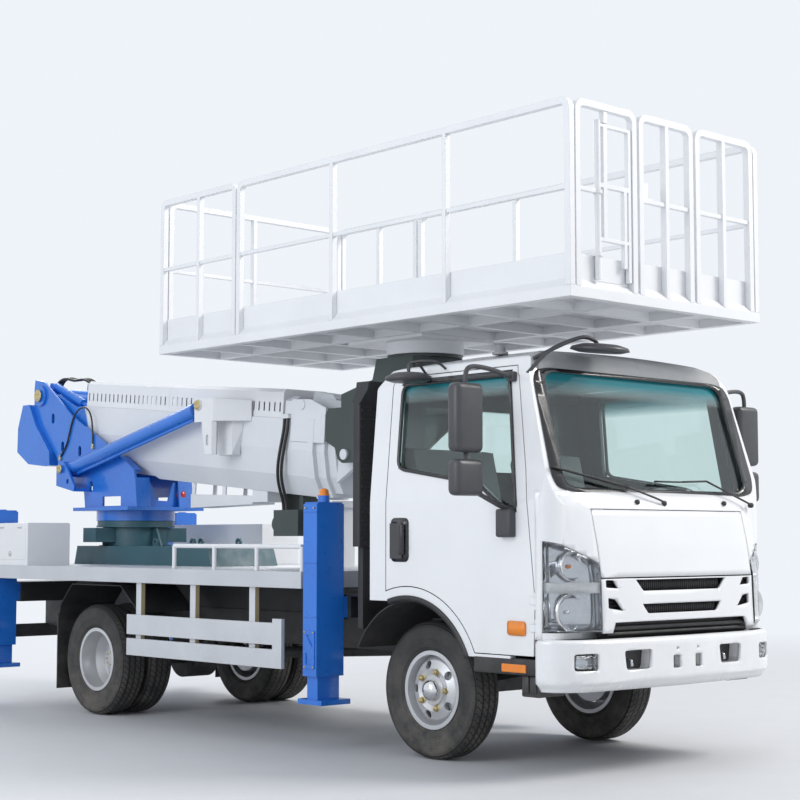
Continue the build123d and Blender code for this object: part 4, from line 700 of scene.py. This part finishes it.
def squareIn(run):
    # The direction into the body, square to a run along its skin in plan
    run = run.normalized() if run.length > 1e-9 else Vector((-1, 0, 0))
    return Vector((-run.y, run.x, 0))


def onNose(t, z, depth):
    way = abs(t)
    y, back = (readTable(nose["plan"], way, column) for column in (1, 2))
    middle = readTable(nose["profile"], z)
    x = nose["doorEdge"] + (middle - nose["doorEdge"]) * (1 - back)
    nextY, nextBack = (readTable(nose["plan"], way + 0.01, column) for column in (1, 2))
    inward = squareIn(Vector((-(middle - nose["doorEdge"]) * (nextBack - back), nextY - y, 0)))
    if way < 0.97:
        x = max(x, shellFront(min(y, 0.9305), z) + 0.003)
    spot = Vector((x, y, z)) + inward * depth
    return Vector((spot.x, spot.y if t >= 0 else -spot.y, z))


# Cowl: one side's outline, from under the screen round the lamp to the lid, and its mirror image
lampEdge = [(a, b + 0.004) if b > 1 else (a + 0.004, b) for a, b in nose["lampOutline"][2:]]
cowlHalf = [(0.655, 1.4), (0.655, 1.117)] + lampEdge
cowlHalf += [(0.978, 0.722), (1.02, 0.722), (1.02, 1.494), (0.8, 1.497)]
cowlOutline = cowlHalf + mirrored(cowlHalf)
mesh = bmesh.new()
addSheet(mesh, cowlOutline, onNose, 0.012)
finishPiece(mesh, "noseCowl", "cabPaint", True)

# Lid over the radiator
half, (low, high) = nose["lidHalf"], nose["lidRange"]
mesh = bmesh.new()
addSheet(mesh, roundedLoop(rectangle(-half, half, low, high), 0.012), onNose, 0.018)
finishPiece(mesh, "lidSkin", "cabPaint", True, "front_lid", replaces=["front_lid"])

# Grille face: two slots with slanted ends and a wedge beside each
grille = {
    "half": [(0.56, 0.806), (0.585, 0.752), (0.65, 0.752), (0.65, 1.033)],
    "slots": [[(-0.39, 1.026), (-0.331, 0.966), (0.331, 0.966), (0.39, 1.026)],
              [(-0.342, 0.897), (-0.298, 0.846), (0.298, 0.846), (0.342, 0.897)]],
    "wedges": [[(0.622, 1.027), (0.557, 1.025), (0.525, 0.982), (0.622, 0.988)],
               [(0.61, 0.934), (0.547, 0.925), (0.49, 0.864), (0.61, 0.88)]],
    "fins": [(0.966, 1.026, 0.34), (0.846, 0.897, 0.3)],
}
wedges = grille["wedges"] + [mirrored(wedge) for wedge in grille["wedges"]]
holes = [roundedLoop(slot, 0.012) for slot in grille["slots"]] + [roundedLoop(wedge, 0.008) for wedge in wedges]
mesh = bmesh.new()
addSheet(mesh, grille["half"] + mirrored(grille["half"]), onNose, 0.016, holes=holes)
finishPiece(mesh, "grilleFace", "cabPaint", True, replaces=["grille_panel"])
mesh = bmesh.new()
addSheet(mesh, rectangle(-0.652, 0.652, 0.724, 1.034), sunk(onNose, 0.05), 0.004, 0.06)
for low, high, half in grille["fins"]:
    count = int(2 * half / 0.017)
    for step in range(count + 1):
        t = -half + 2 * half * step / count
        spot = onNose(t, (low + high) / 2, 0.03)
        addBox(mesh, (spot.x - 0.02, spot.y - 0.0025, low - 0.004),
               (spot.x + 0.01, spot.y + 0.0025, high + 0.004))
for side in (-1, 1):
    for level in (0.87, 0.89, 0.91, 0.93, 0.995, 1.01):
        addRod(mesh, onNose(side * 0.48, level, 0.03), onNose(side * 0.63, level, 0.03), 0.0025, 6)
for level, radius in ((0.775, 0.014), (0.745, 0.01)):
    addTube(mesh, [onNose(t / 10, level, 0.035) for t in range(-6, 7)], radius, 8)
finishPiece(mesh, "grilleMesh", "blackPlastic", True)

# Headlamps: a bright back with two bowls, a fluted band between them and a clear front
lampParts = {
    # y, z and radius of each bowl
    "bowls": [(0.792, 0.862, 0.09), (0.775, 1.098, 0.074)],
    "bowlX": 3.302,
    "bulbX": 3.262,
    "bulb": [(0, 0.0), (0, 0.011), (0.022, 0.011), (0.03, 0.007), (0.032, 0.0)],
}
mesh, lens, chrome, flutes, rim, bulbs = (bmesh.new() for number in range(6))
bottom, top = nose["splitBand"]
for side in (1, -1):
    outline, band = nose["lampOutline"], [(0.66, bottom), (0.66, top), (0.965, top), (0.965, bottom)]
    if side < 0:
        outline, band = mirrored(outline), mirrored(band)
    front = roundedLoop(outline, 0.014)
    addSheet(mesh, outline, sunk(onNose, 0.062), 0.004, 0.05)
    addSheet(lens, front, sunk(onNose, 0.001), 0.003)
    addTube(rim, [onNose(t, z, 0.004) for t, z in front], 0.0035, 6, closed=True)
    addSheet(flutes, band, sunk(onNose, 0.012), 0.01)
    for y, z, radius in lampParts["bowls"]:
        bowl = [(-0.055, 0.0), (-0.053, 0.35 * radius), (-0.035, 0.72 * radius), (0.0, radius),
                (0.004, radius + 0.004), (-0.012, radius + 0.006)]
        addTurned(chrome, (lampParts["bowlX"], side * y, z), (1, 0, 0), bowl, 32)
        # The upper bowl's bulb is amber
        spot = lampParts["bulbX"], side * y, z
        addTurned(bulbs if z > 1 else chrome, spot, (1, 0, 0), lampParts["bulb"], 12)
    addWalls(mesh, outline, onNose, 0.004, 0.064, 6)
finishPiece(mesh, "lampCases", "lampCase", True)
finishPiece(chrome, "lampBowls", "chrome", True)
finishPiece(bulbs, "lampBulbs", "amberLens", True)
finishPiece(flutes, "lampBands", "flutedGlass", True)
finishPiece(rim, "lampRims", "greyPlastic", True)
finishPiece(lens, "lampFronts", "lampGlass", True, replaces=["headlamps"])

# Bumper: bowed in plan, with a lip drawn in along its lower edge
bumper = {
    # way round from the middle, distance from the middle, how far forward
    "plan": [(0.0, 0.0, 3.45), (0.386, 0.386, 3.432), (0.6, 0.6, 3.42), (0.7, 0.7, 3.412),
             (0.79, 0.788, 3.39), (0.86, 0.85, 3.358), (0.91, 0.892, 3.322), (0.95, 0.918, 3.286),
             (0.98, 0.931, 3.255), (1.01, 0.937, 3.222), (1.06, 0.938, 3.192)],
    # height, how far the skin is drawn in
    "profile": [(0.452, 0.04), (0.47, 0.03), (0.498, 0.0), (0.706, 0.0), (0.716, 0.005), (0.722, 0.016)],
}


def onBumper(t, z, depth):
    way = abs(t)
    y, x = (readTable(bumper["plan"], way, column) for column in (1, 2))
    nextY, nextX = (readTable(bumper["plan"], way + 0.01, column) for column in (1, 2))
    inward = squareIn(Vector((nextX - x, nextY - y, 0)))
    spot = Vector((x, y, z)) + inward * (depth + readTable(bumper["profile"], z))
    return Vector((spot.x, spot.y if t >= 0 else -spot.y, z))


lampHole = roundedLoop([(0.69, 0.562), (0.842, 0.564), (0.842, 0.65), (0.69, 0.652)], 0.02)
hookHole = roundedLoop([(0.305, 0.556), (0.49, 0.556), (0.505, 0.658), (0.29, 0.66)], 0.02)
slotHole = roundedLoop(rectangle(0.062, 0.124, 0.55, 0.62), 0.01)
boltHole = [(0.088 + 0.009 * cos(pi * step / 5), 0.656 + 0.009 * sin(pi * step / 5)) for step in range(10)]
bumperHoles = [loop for hole in (lampHole, hookHole, slotHole, boltHole) for loop in (hole, mirrored(hole))]
mesh = bmesh.new()
addSheet(mesh, rectangle(-1.06, 1.06, 0.452, 0.722), onBumper, 0.02, 0.022, bumperHoles)
finishPiece(mesh, "bumperSkin", "cabPaint", True, replaces=["front_bumper"])
mesh = bmesh.new()
addSheet(mesh, rectangle(-0.95, 0.95, 0.47, 0.716), sunk(onBumper, 0.075), 0.006, 0.06)
for step in range(-19, 20):
    ends = step / 20, step / 20 + 0.05
    spots = [onBumper(t, 0.714, 0.02) for t in ends] + [onBumper(t, 0.714, 0.1) for t in reversed(ends)]
    mesh.faces.new([mesh.verts.new(spot) for spot in spots])
finishPiece(mesh, "bumperBack", "blackPlastic")
mesh, lens, shade = (bmesh.new() for number in range(3))
for side in (1, -1):
    inner = [(side * a, b) for a, b in ((0.702, 0.572), (0.83, 0.574), (0.83, 0.641), (0.702, 0.642))]
    addSheet(mesh, inner, sunk(onBumper, 0.045), 0.004, 0.04)
    addSheet(lens, roundedLoop(inner, 0.01), sunk(onBumper, 0.012), 0.006)
    for hole, walls in ((lampHole, 0.045), (hookHole, 0.075), (slotHole, 0.05)):
        addWalls(shade, [(side * a, b) for a, b in hole], onBumper, 0.018, walls)
    hook = [(3.33, side * 0.4, 0.6), (3.375, side * 0.4, 0.6), (3.385, side * 0.4, 0.57)]
    addTube(mesh, smoothLine(hook), 0.01, 8)
finishPiece(mesh, "bumperLampBacks", "lampCase", True)
finishPiece(lens, "bumperLamps", "lampGlass", True)
finishPiece(shade, "bumperWells", "cabPaint")
print("stage: nose, lamps and bumper made")


# Cab: seals, visor, wipers, mirrors and trim
cab = {
    "screenTop": (3.085, 2.15), "screenFoot": (3.272, 1.495),
    # halves of outlines, as distance from the middle and height
    "sealOuter": [(0.735, 1.487), (0.845, 1.51), (0.873, 1.58), (0.848, 2.085), (0.815, 2.142), (0.72, 2.16)],
    "sealInner": [(0.705, 1.512), (0.775, 1.538), (0.785, 1.6), (0.765, 2.08), (0.735, 2.122), (0.68, 2.138)],
    # way up the visor, x, z
    "visor": [(0.0, 3.09, 2.15), (0.04, 3.074, 2.196), (0.075, 3.052, 2.226), (0.14, 2.992, 2.256)],
    "visorHalf": [(0.8, 0.0), (0.79, 0.04), (0.745, 0.075), (0.68, 0.14)],
    "doorWindow": [(2.105, 2.12), (2.105, 1.64), (2.5, 1.58), (2.76, 1.54), (2.9, 1.44),
                   (3.052, 1.38), (2.952, 2.12)],
    # pivot, elbow and the blade's points, each as y and z
    "wipers": [((-0.041, 1.436), (-0.337, 1.529), [(-0.884, 1.619), (-0.6, 1.572), (-0.279, 1.515)]),
               ((0.757, 1.436), (0.402, 1.569), [(-0.051, 1.558), (0.18, 1.56), (0.402, 1.569)])],
    "washers": [(-0.269, 1.44), (0.503, 1.443)],
    # low and high of x, low and high of z of the mirrors on a door, and their distance from the middle
    "mirrorBoxes": [((2.915, 3.005), (1.69, 2.055)), ((2.915, 3.005), (1.465, 1.655))],
    "mirrorY": 1.21,
}


def onScreen(y, z, depth):
    (topX, topZ), (footX, footZ) = cab["screenTop"], cab["screenFoot"]
    x = footX + (z - footZ) * (topX - footX) / (topZ - footZ)
    return Vector((x + 0.006 - depth, y, z))


def doorSide(z):
    return readTable([(0.5, 0.925), (1.45, 0.925), (2.12, 0.865), (2.225, 0.8), (2.28, 0.55)], z)


def bothSides(half):
    return half + mirrored(half)


mesh = bmesh.new()
opening = roundedLoop(bothSides(cab["sealInner"]), 0.06)
addSheet(mesh, roundedLoop(bothSides(cab["sealOuter"]), 0.05), onScreen, 0.014, 0.08, [opening])
finishPiece(mesh, "screenSeal", "glossBlack", True)


def onVisor(y, s, depth):
    crown = 0.022 * (1 - (y / 0.8) ** 2) * min(1, s / 0.075)
    return Vector((readTable(cab["visor"], s, 1), y, readTable(cab["visor"], s, 2) + crown - depth))


mesh = bmesh.new()
addSheet(mesh, roundedLoop(bothSides(cab["visorHalf"]), 0.02), onVisor, 0.012, 0.05)
finishPiece(mesh, "roofVisor", "greyPlastic", True)

mesh = bmesh.new()
lift = Vector((0.022, 0, 0))
for pivot, elbow, tips in cab["wipers"]:
    x = readTable(nose["profile"], pivot[1]) + 0.006
    addRod(mesh, (x - 0.02, *pivot), (x + 0.008, *pivot), 0.015, 16, 0.004)
    joint = onScreen(*elbow, 0) + lift
    bend = Vector((x + 0.004, pivot[0] * 0.8 + elbow[0] * 0.2, pivot[1] + 0.022))
    addTube(mesh, smoothLine([Vector((x + 0.004, *pivot)), bend, joint]), 0.006, 8)
    blade = smoothLine([onScreen(*tip, 0) + lift for tip in tips])
    addTube(mesh, blade, 0.005, 6)
    addTube(mesh, [spot - lift * 0.6 for spot in blade], 0.007, 6, squeeze=0.5)
    addTube(mesh, [joint, blade[len(blade) // 2]], 0.006, 6)
for y, z in cab["washers"]:
    x = readTable(nose["profile"], z) + 0.004
    addRod(mesh, (x - 0.01, y, z), (x + 0.011, y, z), 0.014, 12, 0.004)
finishPiece(mesh, "wipers", "blackPlastic", True)

# Mirror over the kerb and the one before the screen, on the near side
mesh = bmesh.new()
disc = [(0, 0.0), (0, 0.1), (0.012, 0.135), (0.03, 0.13), (0.05, 0.085), (0.06, 0.0)]
addTurned(mesh, (2.292, -1.0, 2.118), (0, 0, 1), disc, 28)
for end in ((2.262, -0.83, 2.17), (2.4, -0.8, 2.19)):
    arm = [(2.292, -1.0, 2.16), (2.292, -0.985, 2.225), (end[0], -0.9, 2.232), end]
    addTube(mesh, smoothLine(arm), 0.008, 8)
disc = [(0, 0.0), (0, 0.12), (0.012, 0.165), (0.03, 0.155), (0.046, 0.1), (0.052, 0.0)]
addTurned(mesh, (3.2, -0.42, 2.252), (0.1, 0, 1), disc, 28)
for base in ((3.078, -0.862, 2.12), (3.06, -0.8, 2.205)):
    arm = [base, (3.12, -0.74, 2.245), (3.18, -0.56, 2.325), (3.2, -0.47, 2.318), (3.2, -0.43, 2.29)]
    addTube(mesh, smoothLine(arm), 0.011, 8)
finishPiece(mesh, "extraMirrors", "greyBlack", True)

# Both sides: door mirrors in place of the plain ones, trim on the door, sill and step
def addBlock(mesh, side, xs, y, half, zs, soft, steps):
    # A rounded box at y on one side of the truck
    addBox(mesh, (xs[0], side * y - half, zs[0]), (xs[1], side * y + half, zs[1]), soft, steps)


for name, side in (("right", -1), ("left", 1)):
    door, mirrorY = f"door_{name}", cab["mirrorY"]
    mesh, glass = bmesh.new(), bmesh.new()
    for xs, zs in cab["mirrorBoxes"]:
        addBlock(mesh, side, xs, mirrorY, 0.1, zs, 0.032, 4)
        faceX, faceZ = (xs[0] - 0.001, xs[0] + 0.004), (zs[0] + 0.022, zs[1] - 0.022)
        addBlock(glass, side, faceX, mirrorY, 0.078, faceZ, 0.002, 1)
    for arm in ([(2.985, 0.905, 1.395), (2.975, 0.96, 1.412), (2.965, 1.1, 1.47), (2.96, 1.2, 1.52),
                 (2.96, mirrorY, 1.7)],
                [(2.96, mirrorY, 1.98), (2.96, 1.208, 2.1), (2.963, 1.17, 2.142), (2.975, 1.05, 2.138),
                 (2.985, 0.885, 2.105)]):
        addTube(mesh, smoothLine([(x, side * y, z) for x, y, z in arm]), 0.013, 10)
    addBlock(mesh, side, (2.935, 3.045), 0.945, 0.028, (1.25, 1.4), 0.014, 3)
    addBlock(mesh, side, (2.955, 3.005), 0.88, 0.02, (2.08, 2.135), 0.01, 3)
    finishPiece(mesh, f"mirrorHousings_{name}", "greyBlack", True, door, replaces=[f"mirrors_{name}"])
    finishPiece(glass, f"mirrorFaces_{name}", "chrome", False, door)

    # Window seal, handle recess and handle
    mesh = bmesh.new()
    loop = roundedLoop(cab["doorWindow"], 0.06, 6)
    for radius in (0.011, 0.007):
        addTube(mesh, [(x, side * (doorSide(z) + 0.002), z) for x, z in loop], radius, 8, closed=True)
    addSheet(mesh, [(2.09, 2.118), (2.962, 2.118), (2.955, 2.15), (2.1, 2.15)],
             lambda x, z, depth: Vector((x, side * (doorSide(z) + 0.003 - depth), z)), 0.004, 0.1)
    recess = roundedLoop(rectangle(2.064, 2.212, 1.112, 1.36), 0.035)
    addSheet(mesh, recess, flatSide(side, 0.9285), 0.003, 0.1)
    addBlock(mesh, side, (2.155, 2.195), 0.95, 0.014, (1.15, 1.325), 0.01, 3)
    finishPiece(mesh, f"doorTrim_{name}", "glossBlack", True, door)
    mesh = bmesh.new()
    lampFace = roundedLoop([(2.985, 0.738), (3.117, 0.736), (3.115, 0.812), (2.985, 0.814)], 0.02)
    addSheet(mesh, lampFace, flatSide(side, 0.934), 0.008, 0.1)
    finishPiece(mesh, f"sideLamp_{name}", "amberLens", True, door)

    # Sill, step and trim round the arch
    mesh = bmesh.new()
    addBlock(mesh, side, (2.727, 3.196), 0.905, 0.022, (0.532, 0.618), 0.008, 2)
    addBlock(mesh, side, (3.055, 3.182), 0.8, 0.1, (0.42, 0.548), 0.008, 2)
    arc = [radians(angle) for angle in range(24, 112, 4)]
    band = [(tyre["frontX"] + radius * cos(a), tyre["axleZ"] + radius * sin(a))
            for radius, turns in ((0.508, arc), (0.538, arc[::-1])) for a in turns]
    addSheet(mesh, band, flatSide(side, 0.931), 0.012, 0.2)
    for xs in ((3.07, 3.115), (3.122, 3.168)):
        addBlock(mesh, side, xs, 0.905, 0.006, (0.44, 0.53), 0.003, 1)
    finishPiece(mesh, f"sillTrim_{name}", "blackPlastic", True)
    mesh = bmesh.new()
    addBlock(mesh, side, (2.941, 3.116), 0.929, 0.005, (0.545, 0.588), 0.003, 1)
    finishPiece(mesh, f"sillReflector_{name}", "amberLens")

# Marker on the roof
mesh = bmesh.new()
marker = [(0, 0.0), (0, 0.045), (0.014, 0.045), (0.02, 0.03), (0.052, 0.026), (0.062, 0.0)]
addTurned(mesh, (2.62, -0.6, 2.275), (0, 0, 1), marker, 16)
finishPiece(mesh, "roofMarker", "greyPlastic", True)
print("stage: cab details made")


# Front wheels: nuts on their washers, and a hub cap
wheels = {
    # distance of the nuts and of the cap from the middle, and radius of the ring of nuts
    "nutY": 0.725, "capY": 0.763, "nutRing": 0.107,
    # tables of distance outwards and radius
    "washer": [(-0.004, 0.0), (-0.004, 0.02), (0.004, 0.02), (0.006, 0.0165)],
    "nut": [(0.004, 0.0165), (0.022, 0.0165), (0.026, 0.013), (0.026, 0.0)],
    "cap": [(-0.03, 0.058), (-0.004, 0.058), (0.0, 0.052), (0.008, 0.046), (0.016, 0.032), (0.019, 0.0)],
    "rearNutY": 0.672, "rearRing": 0.122, "boltY": 0.728, "boltRing": 0.044,
    "rearNut": [(-0.004, 0.0), (-0.004, 0.019), (0.005, 0.019), (0.007, 0.016), (0.024, 0.016), (0.027, 0.012),
                (0.027, 0.0)],
}
for name, side in (("left", 1), ("right", -1)):
    nuts, cap = bmesh.new(), bmesh.new()
    out = Vector((0, side, 0))
    for spot in circleSpots((tyre["frontX"], wheels["nutY"], tyre["axleZ"]), side, wheels["nutRing"], 5):
        addTurned(nuts, spot, out, wheels["washer"], 16)
        addTurned(nuts, spot, out, wheels["nut"], 6)
        addRod(nuts, spot + out * 0.02, spot + out * 0.034, 0.0085, 10, 0.002)
    addTurned(cap, (tyre["frontX"], side * wheels["capY"], tyre["axleZ"]), out, wheels["cap"], 32)
    finishPiece(nuts, f"wheelNuts_{name}", "zincYellow", False, f"front_wheel_{name}")
    finishPiece(cap, f"hubCap_{name}", "chrome", True, f"front_wheel_{name}")

# Hoses: smooth cords along the same routes as in the CAD part
boom = {"pivotX": -3.003, "pivotZ": 2.416, "droop": radians(5.2)}
hoses = {
    # diameter and length
    "turretHose": (0.014, 0.89), "boomHose": (0.02, 0.8), "pumpHose": (0.022, 0.655),
}


def boomSpot(u, v, y):
    # A place given along the boom and square to it, from its pivot
    x = boom["pivotX"] + u * cos(boom["droop"]) + v * sin(boom["droop"])
    return x, y, boom["pivotZ"] - u * sin(boom["droop"]) + v * cos(boom["droop"])


loopRoute = [(-2.673, 1.902), (-2.582, 1.972), (-2.532, 2.1), (-2.484, 2.212), (-2.4, 2.277), (-2.295, 2.287),
             (-2.216, 2.224), (-2.186, 2.098), (-2.186, 1.975)]
bundleRoute = [(-0.094, 0.014), (-0.094, 0.056), (-0.076, 0.098), (-0.04, 0.132), (0.014, 0.152),
               (0.075, 0.158), (0.14, 0.148), (0.205, 0.142), (0.27, 0.152), (0.335, 0.158), (0.4, 0.146),
               (0.46, 0.122), (0.515, 0.097), (0.57, 0.084), (0.62, 0.084)]
pairRoute = [(0.205, -0.236, 2.06), (0.205, -0.236, 2.005), (0.176, -0.238, 1.9), (0.14, -0.239, 1.768),
             (0.112, -0.222, 1.668), (0.088, -0.182, 1.58), (0.066, -0.13, 1.492), (0.066, -0.13, 1.44)]
loopY = 0.27


def addCord(kind, number, points, body, node):
    name = f"{kind}_{number}"
    diameter, length = hoses[kind]
    data = bpy.data.curves.new(name, "CURVE")
    data.dimensions = "3D"
    spline = data.splines.new("NURBS")
    spline.points.add(len(points) - 1)
    for point, spot in zip(spline.points, points):
        point.co = (*spot, 1)
    spline.order_u = 3
    spline.use_endpoint_u = True
    spline.resolution_u = 12
    data.bevel_depth = diameter / 2
    data.bevel_resolution = 4
    data.use_fill_caps = True
    piece = addObject(name, data)
    dress(piece, "hoseRubber")
    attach(piece, body)
    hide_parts(node)


for name, side in (("left", 1), ("right", -1)):
    route = [(x, side * loopY, z) for x, z in loopRoute]
    addCord("turretHose", name, route, "turret", "turret_hoses")
for order, y in enumerate((-0.076, -0.05, -0.024)):
    # Each hose is a little higher than the one before, apart from its ends
    route = [boomSpot(u, v + 0.004 * order * (0 < number < len(bundleRoute) - 2), y)
             for number, (u, v) in enumerate(bundleRoute)]
    addCord("boomHose", order + 1, route, "boom", "boom_hoses")
for order, shift in enumerate((0, 0.04)):
    route = [(x + shift, y, z) for x, y, z in pairRoute]
    addCord("pumpHose", order + 1, route, "boom", "boom_hoses")
mesh = bmesh.new()
for side in (1, -1):
    for x, z in (loopRoute[0], loopRoute[-1]):
        addBlock(mesh, side, (x - 0.012, x + 0.012), loopY, 0.009, (z - 0.03, z + 0.002), 0.003, 2)
        addRod(mesh, (x, side * loopY, z - 0.004), (x, side * loopY, z + 0.012), 0.0105, 6, 0.002)
finishPiece(mesh, "hoseFittings", "zincYellow", False, "turret")

# Pin heads, each with three bolts
pinHeads = [
    # name, body, x, z, distance from the middle, radius
    ("pivot", "boom", boom["pivotX"], boom["pivotZ"], 0.293, 0.05),
    ("lug", "turret", -2.41, 1.79, 0.431, 0.034),
    ("rodEye", "boom", -0.557, 2.19, 0.4225, 0.036),
]
for name, body, x, z, near, radius in pinHeads:
    mesh = bmesh.new()
    head = [(0, 0.0), (0, radius), (0.006, radius), (0.009, radius - 0.004), (0.009, 0.0)]
    for side in (1, -1):
        addTurned(mesh, (x, side * near, z), (0, side, 0), head, 28)
        for spot in circleSpots((x, near + 0.006, z), side, 0.62 * radius, 3, 0.5):
            addRod(mesh, spot, spot + Vector((0, side * 0.01, 0)), 0.0065, 6)
    finishPiece(mesh, f"pinHeads_{name}", "zincYellow", False, body)

# Red lamp on the turret's tail box
mesh = bmesh.new()
dome = [(0, 0.0), (0, 0.042), (0.01, 0.042), (0.014, 0.038), (0.03, 0.034), (0.038, 0.022), (0.04, 0.0)]
addTurned(mesh, (-1.609, 0.174, 1.579), (1, 0, 0), dome)
finishPiece(mesh, "turretLamp", "redLens", True, "turret")

# Rear twins: nuts on the outer disc and bolts on the hub
for name, side in (("left", 1), ("right", -1)):
    nuts = bmesh.new()
    centre = rearX, wheels["rearNutY"], tyre["axleZ"]
    for spot in circleSpots(centre, side, wheels["rearRing"], 5, radians(54)):
        addTurned(nuts, spot, (0, side, 0), wheels["rearNut"], 6)
    for spot in circleSpots((rearX, wheels["boltY"], tyre["axleZ"]), side, wheels["boltRing"], 8):
        addRod(nuts, spot, spot + Vector((0, side * 0.009, 0)), 0.006, 6)
    finishPiece(nuts, f"rearNuts_{name}", "zincYellow", False, f"rear_wheels_{name}")

# Outriggers: a bolted cover plate with two cut corners on each column, and a lamp on the front ones
legs = {
    # x and side of each column
    "columns": {"front_right": (1.425, -1), "front_left": (1.58, 1), "rear_right": (-2.47, -1),
                "rear_left": (-2.625, 1)},
    # half width and height of the plate, heights of the strips and of the bolts
    "plate": (0.048, 0.475, 0.7), "strips": (0.78, 1.1, 1.4), "bolts": (0.485, 0.69, 1.425),
    "lamp": [(0, 0.0), (0, 0.036), (0.008, 0.036), (0.012, 0.03), (0.034, 0.028), (0.044, 0.016), (0.046, 0.0)],
}
for name, (x, side) in legs["columns"].items():
    mesh, bolts = bmesh.new(), bmesh.new()
    half, low, high = legs["plate"]
    plate = roundedLoop(rectangle(x - half, x + half, low, high), 0.008)
    holes = [roundedLoop([(x - 0.03, 0.5), (x + 0.028, 0.5), (x - 0.03, 0.575)], 0.006),
             roundedLoop([(x + 0.03, 0.675), (x - 0.028, 0.675), (x + 0.03, 0.6)], 0.006)]
    addSheet(mesh, plate, flatSide(side, 1.006), 0.007, 0.2, holes)
    for z in legs["strips"]:
        addBlock(mesh, side, (x - 0.06, x + 0.06), 1.0015, 0.002, (z - 0.004, z + 0.004), 0.001, 1)
    for a in (-0.04, 0.04):
        for z in legs["bolts"]:
            addRod(bolts, (x + a, side * 1.0, z), (x + a, side * 1.01, z), 0.006, 6)
    finishPiece(mesh, f"legPlate_{name}", "bluePaint", False, f"outrigger_{name}")
    finishPiece(bolts, f"legBolts_{name}", "zincYellow", False, f"outrigger_{name}")
    if "front" in name:
        mesh = bmesh.new()
        addTurned(mesh, (x, side * 0.895, 1.498), (0, 0, 1), legs["lamp"], 20)
        finishPiece(mesh, f"legLamp_{name}", "amberLens", True, f"outrigger_{name}")

# Tool boxes: raised doors with hinges and twist latches
toolBoxes = [
    # name, side, low and high x, top
    ("right", -1, -2.39, -1.885, 1.36), ("left", 1, -2.39, -1.18, 1.355),
]
for name, side, lowX, highX, top in toolBoxes:
    doors, catches = bmesh.new(), bmesh.new()
    count = max(1, round((highX - lowX) / 0.6))
    width = (highX - lowX) / count
    for number in range(count):
        near, far = lowX + number * width + 0.03, lowX + (number + 1) * width - 0.03
        addBlock(doors, side, (near, far), 1.0005, 0.003, (1.085, top - 0.04), 0.0025, 2)
        for share in (0.2, 0.8):
            hinge, z = near + share * (far - near), top - 0.036
            addRod(catches, (hinge - 0.025, side * 1.004, z), (hinge + 0.025, side * 1.004, z), 0.005, 8)
        middle = (near + far) / 2
        latch = [(0, 0.0), (0, 0.022), (0.004, 0.02), (0.005, 0.0)]
        addTurned(catches, (middle, side * 1.003, 1.13), (0, side, 0), latch, 20)
        addBlock(catches, side, (middle - 0.006, middle + 0.006), 1.009, 0.004, (1.112, 1.148), 0.002, 1)
    finishPiece(doors, f"toolDoors_{name}", "whiteCoat")
    finishPiece(catches, f"toolCatches_{name}", "bareSteel")
print("stage: hoses, pins, nuts and outrigger details made")


# Floor
floorMesh = bmesh.new()
bmesh.ops.create_grid(floorMesh, x_segments=1, y_segments=1, size=studio["floorSize"])
floorPiece = meshObject(floorMesh, "studioFloor")
floorTree = finishes["floor"].node_tree
place = addNode(floorTree, "TexCoord")
reach = addNode(floorTree, "VectorMath", operation="LENGTH")
fade = addNode(floorTree, "MapRange", {"From Min": studio["fadeFrom"], "From Max": studio["fadeTo"]},
               interpolation_type="SMOOTHSTEP")
glow = addNode(floorTree, "Emission", {"Color": (*studio["backdrop"], 1)})
mix = addNode(floorTree, "MixShader")
linkNodes(floorTree, [
    (place, "Object", reach, 0), (reach, "Value", fade, "Value"), (fade, "Result", mix, 0),
    (floorTree.nodes["Principled BSDF"], 0, mix, 1), (glow, 0, mix, 2),
    (mix, 0, floorTree.nodes["Material Output"], "Surface"),
])
dress(floorPiece, "floor")
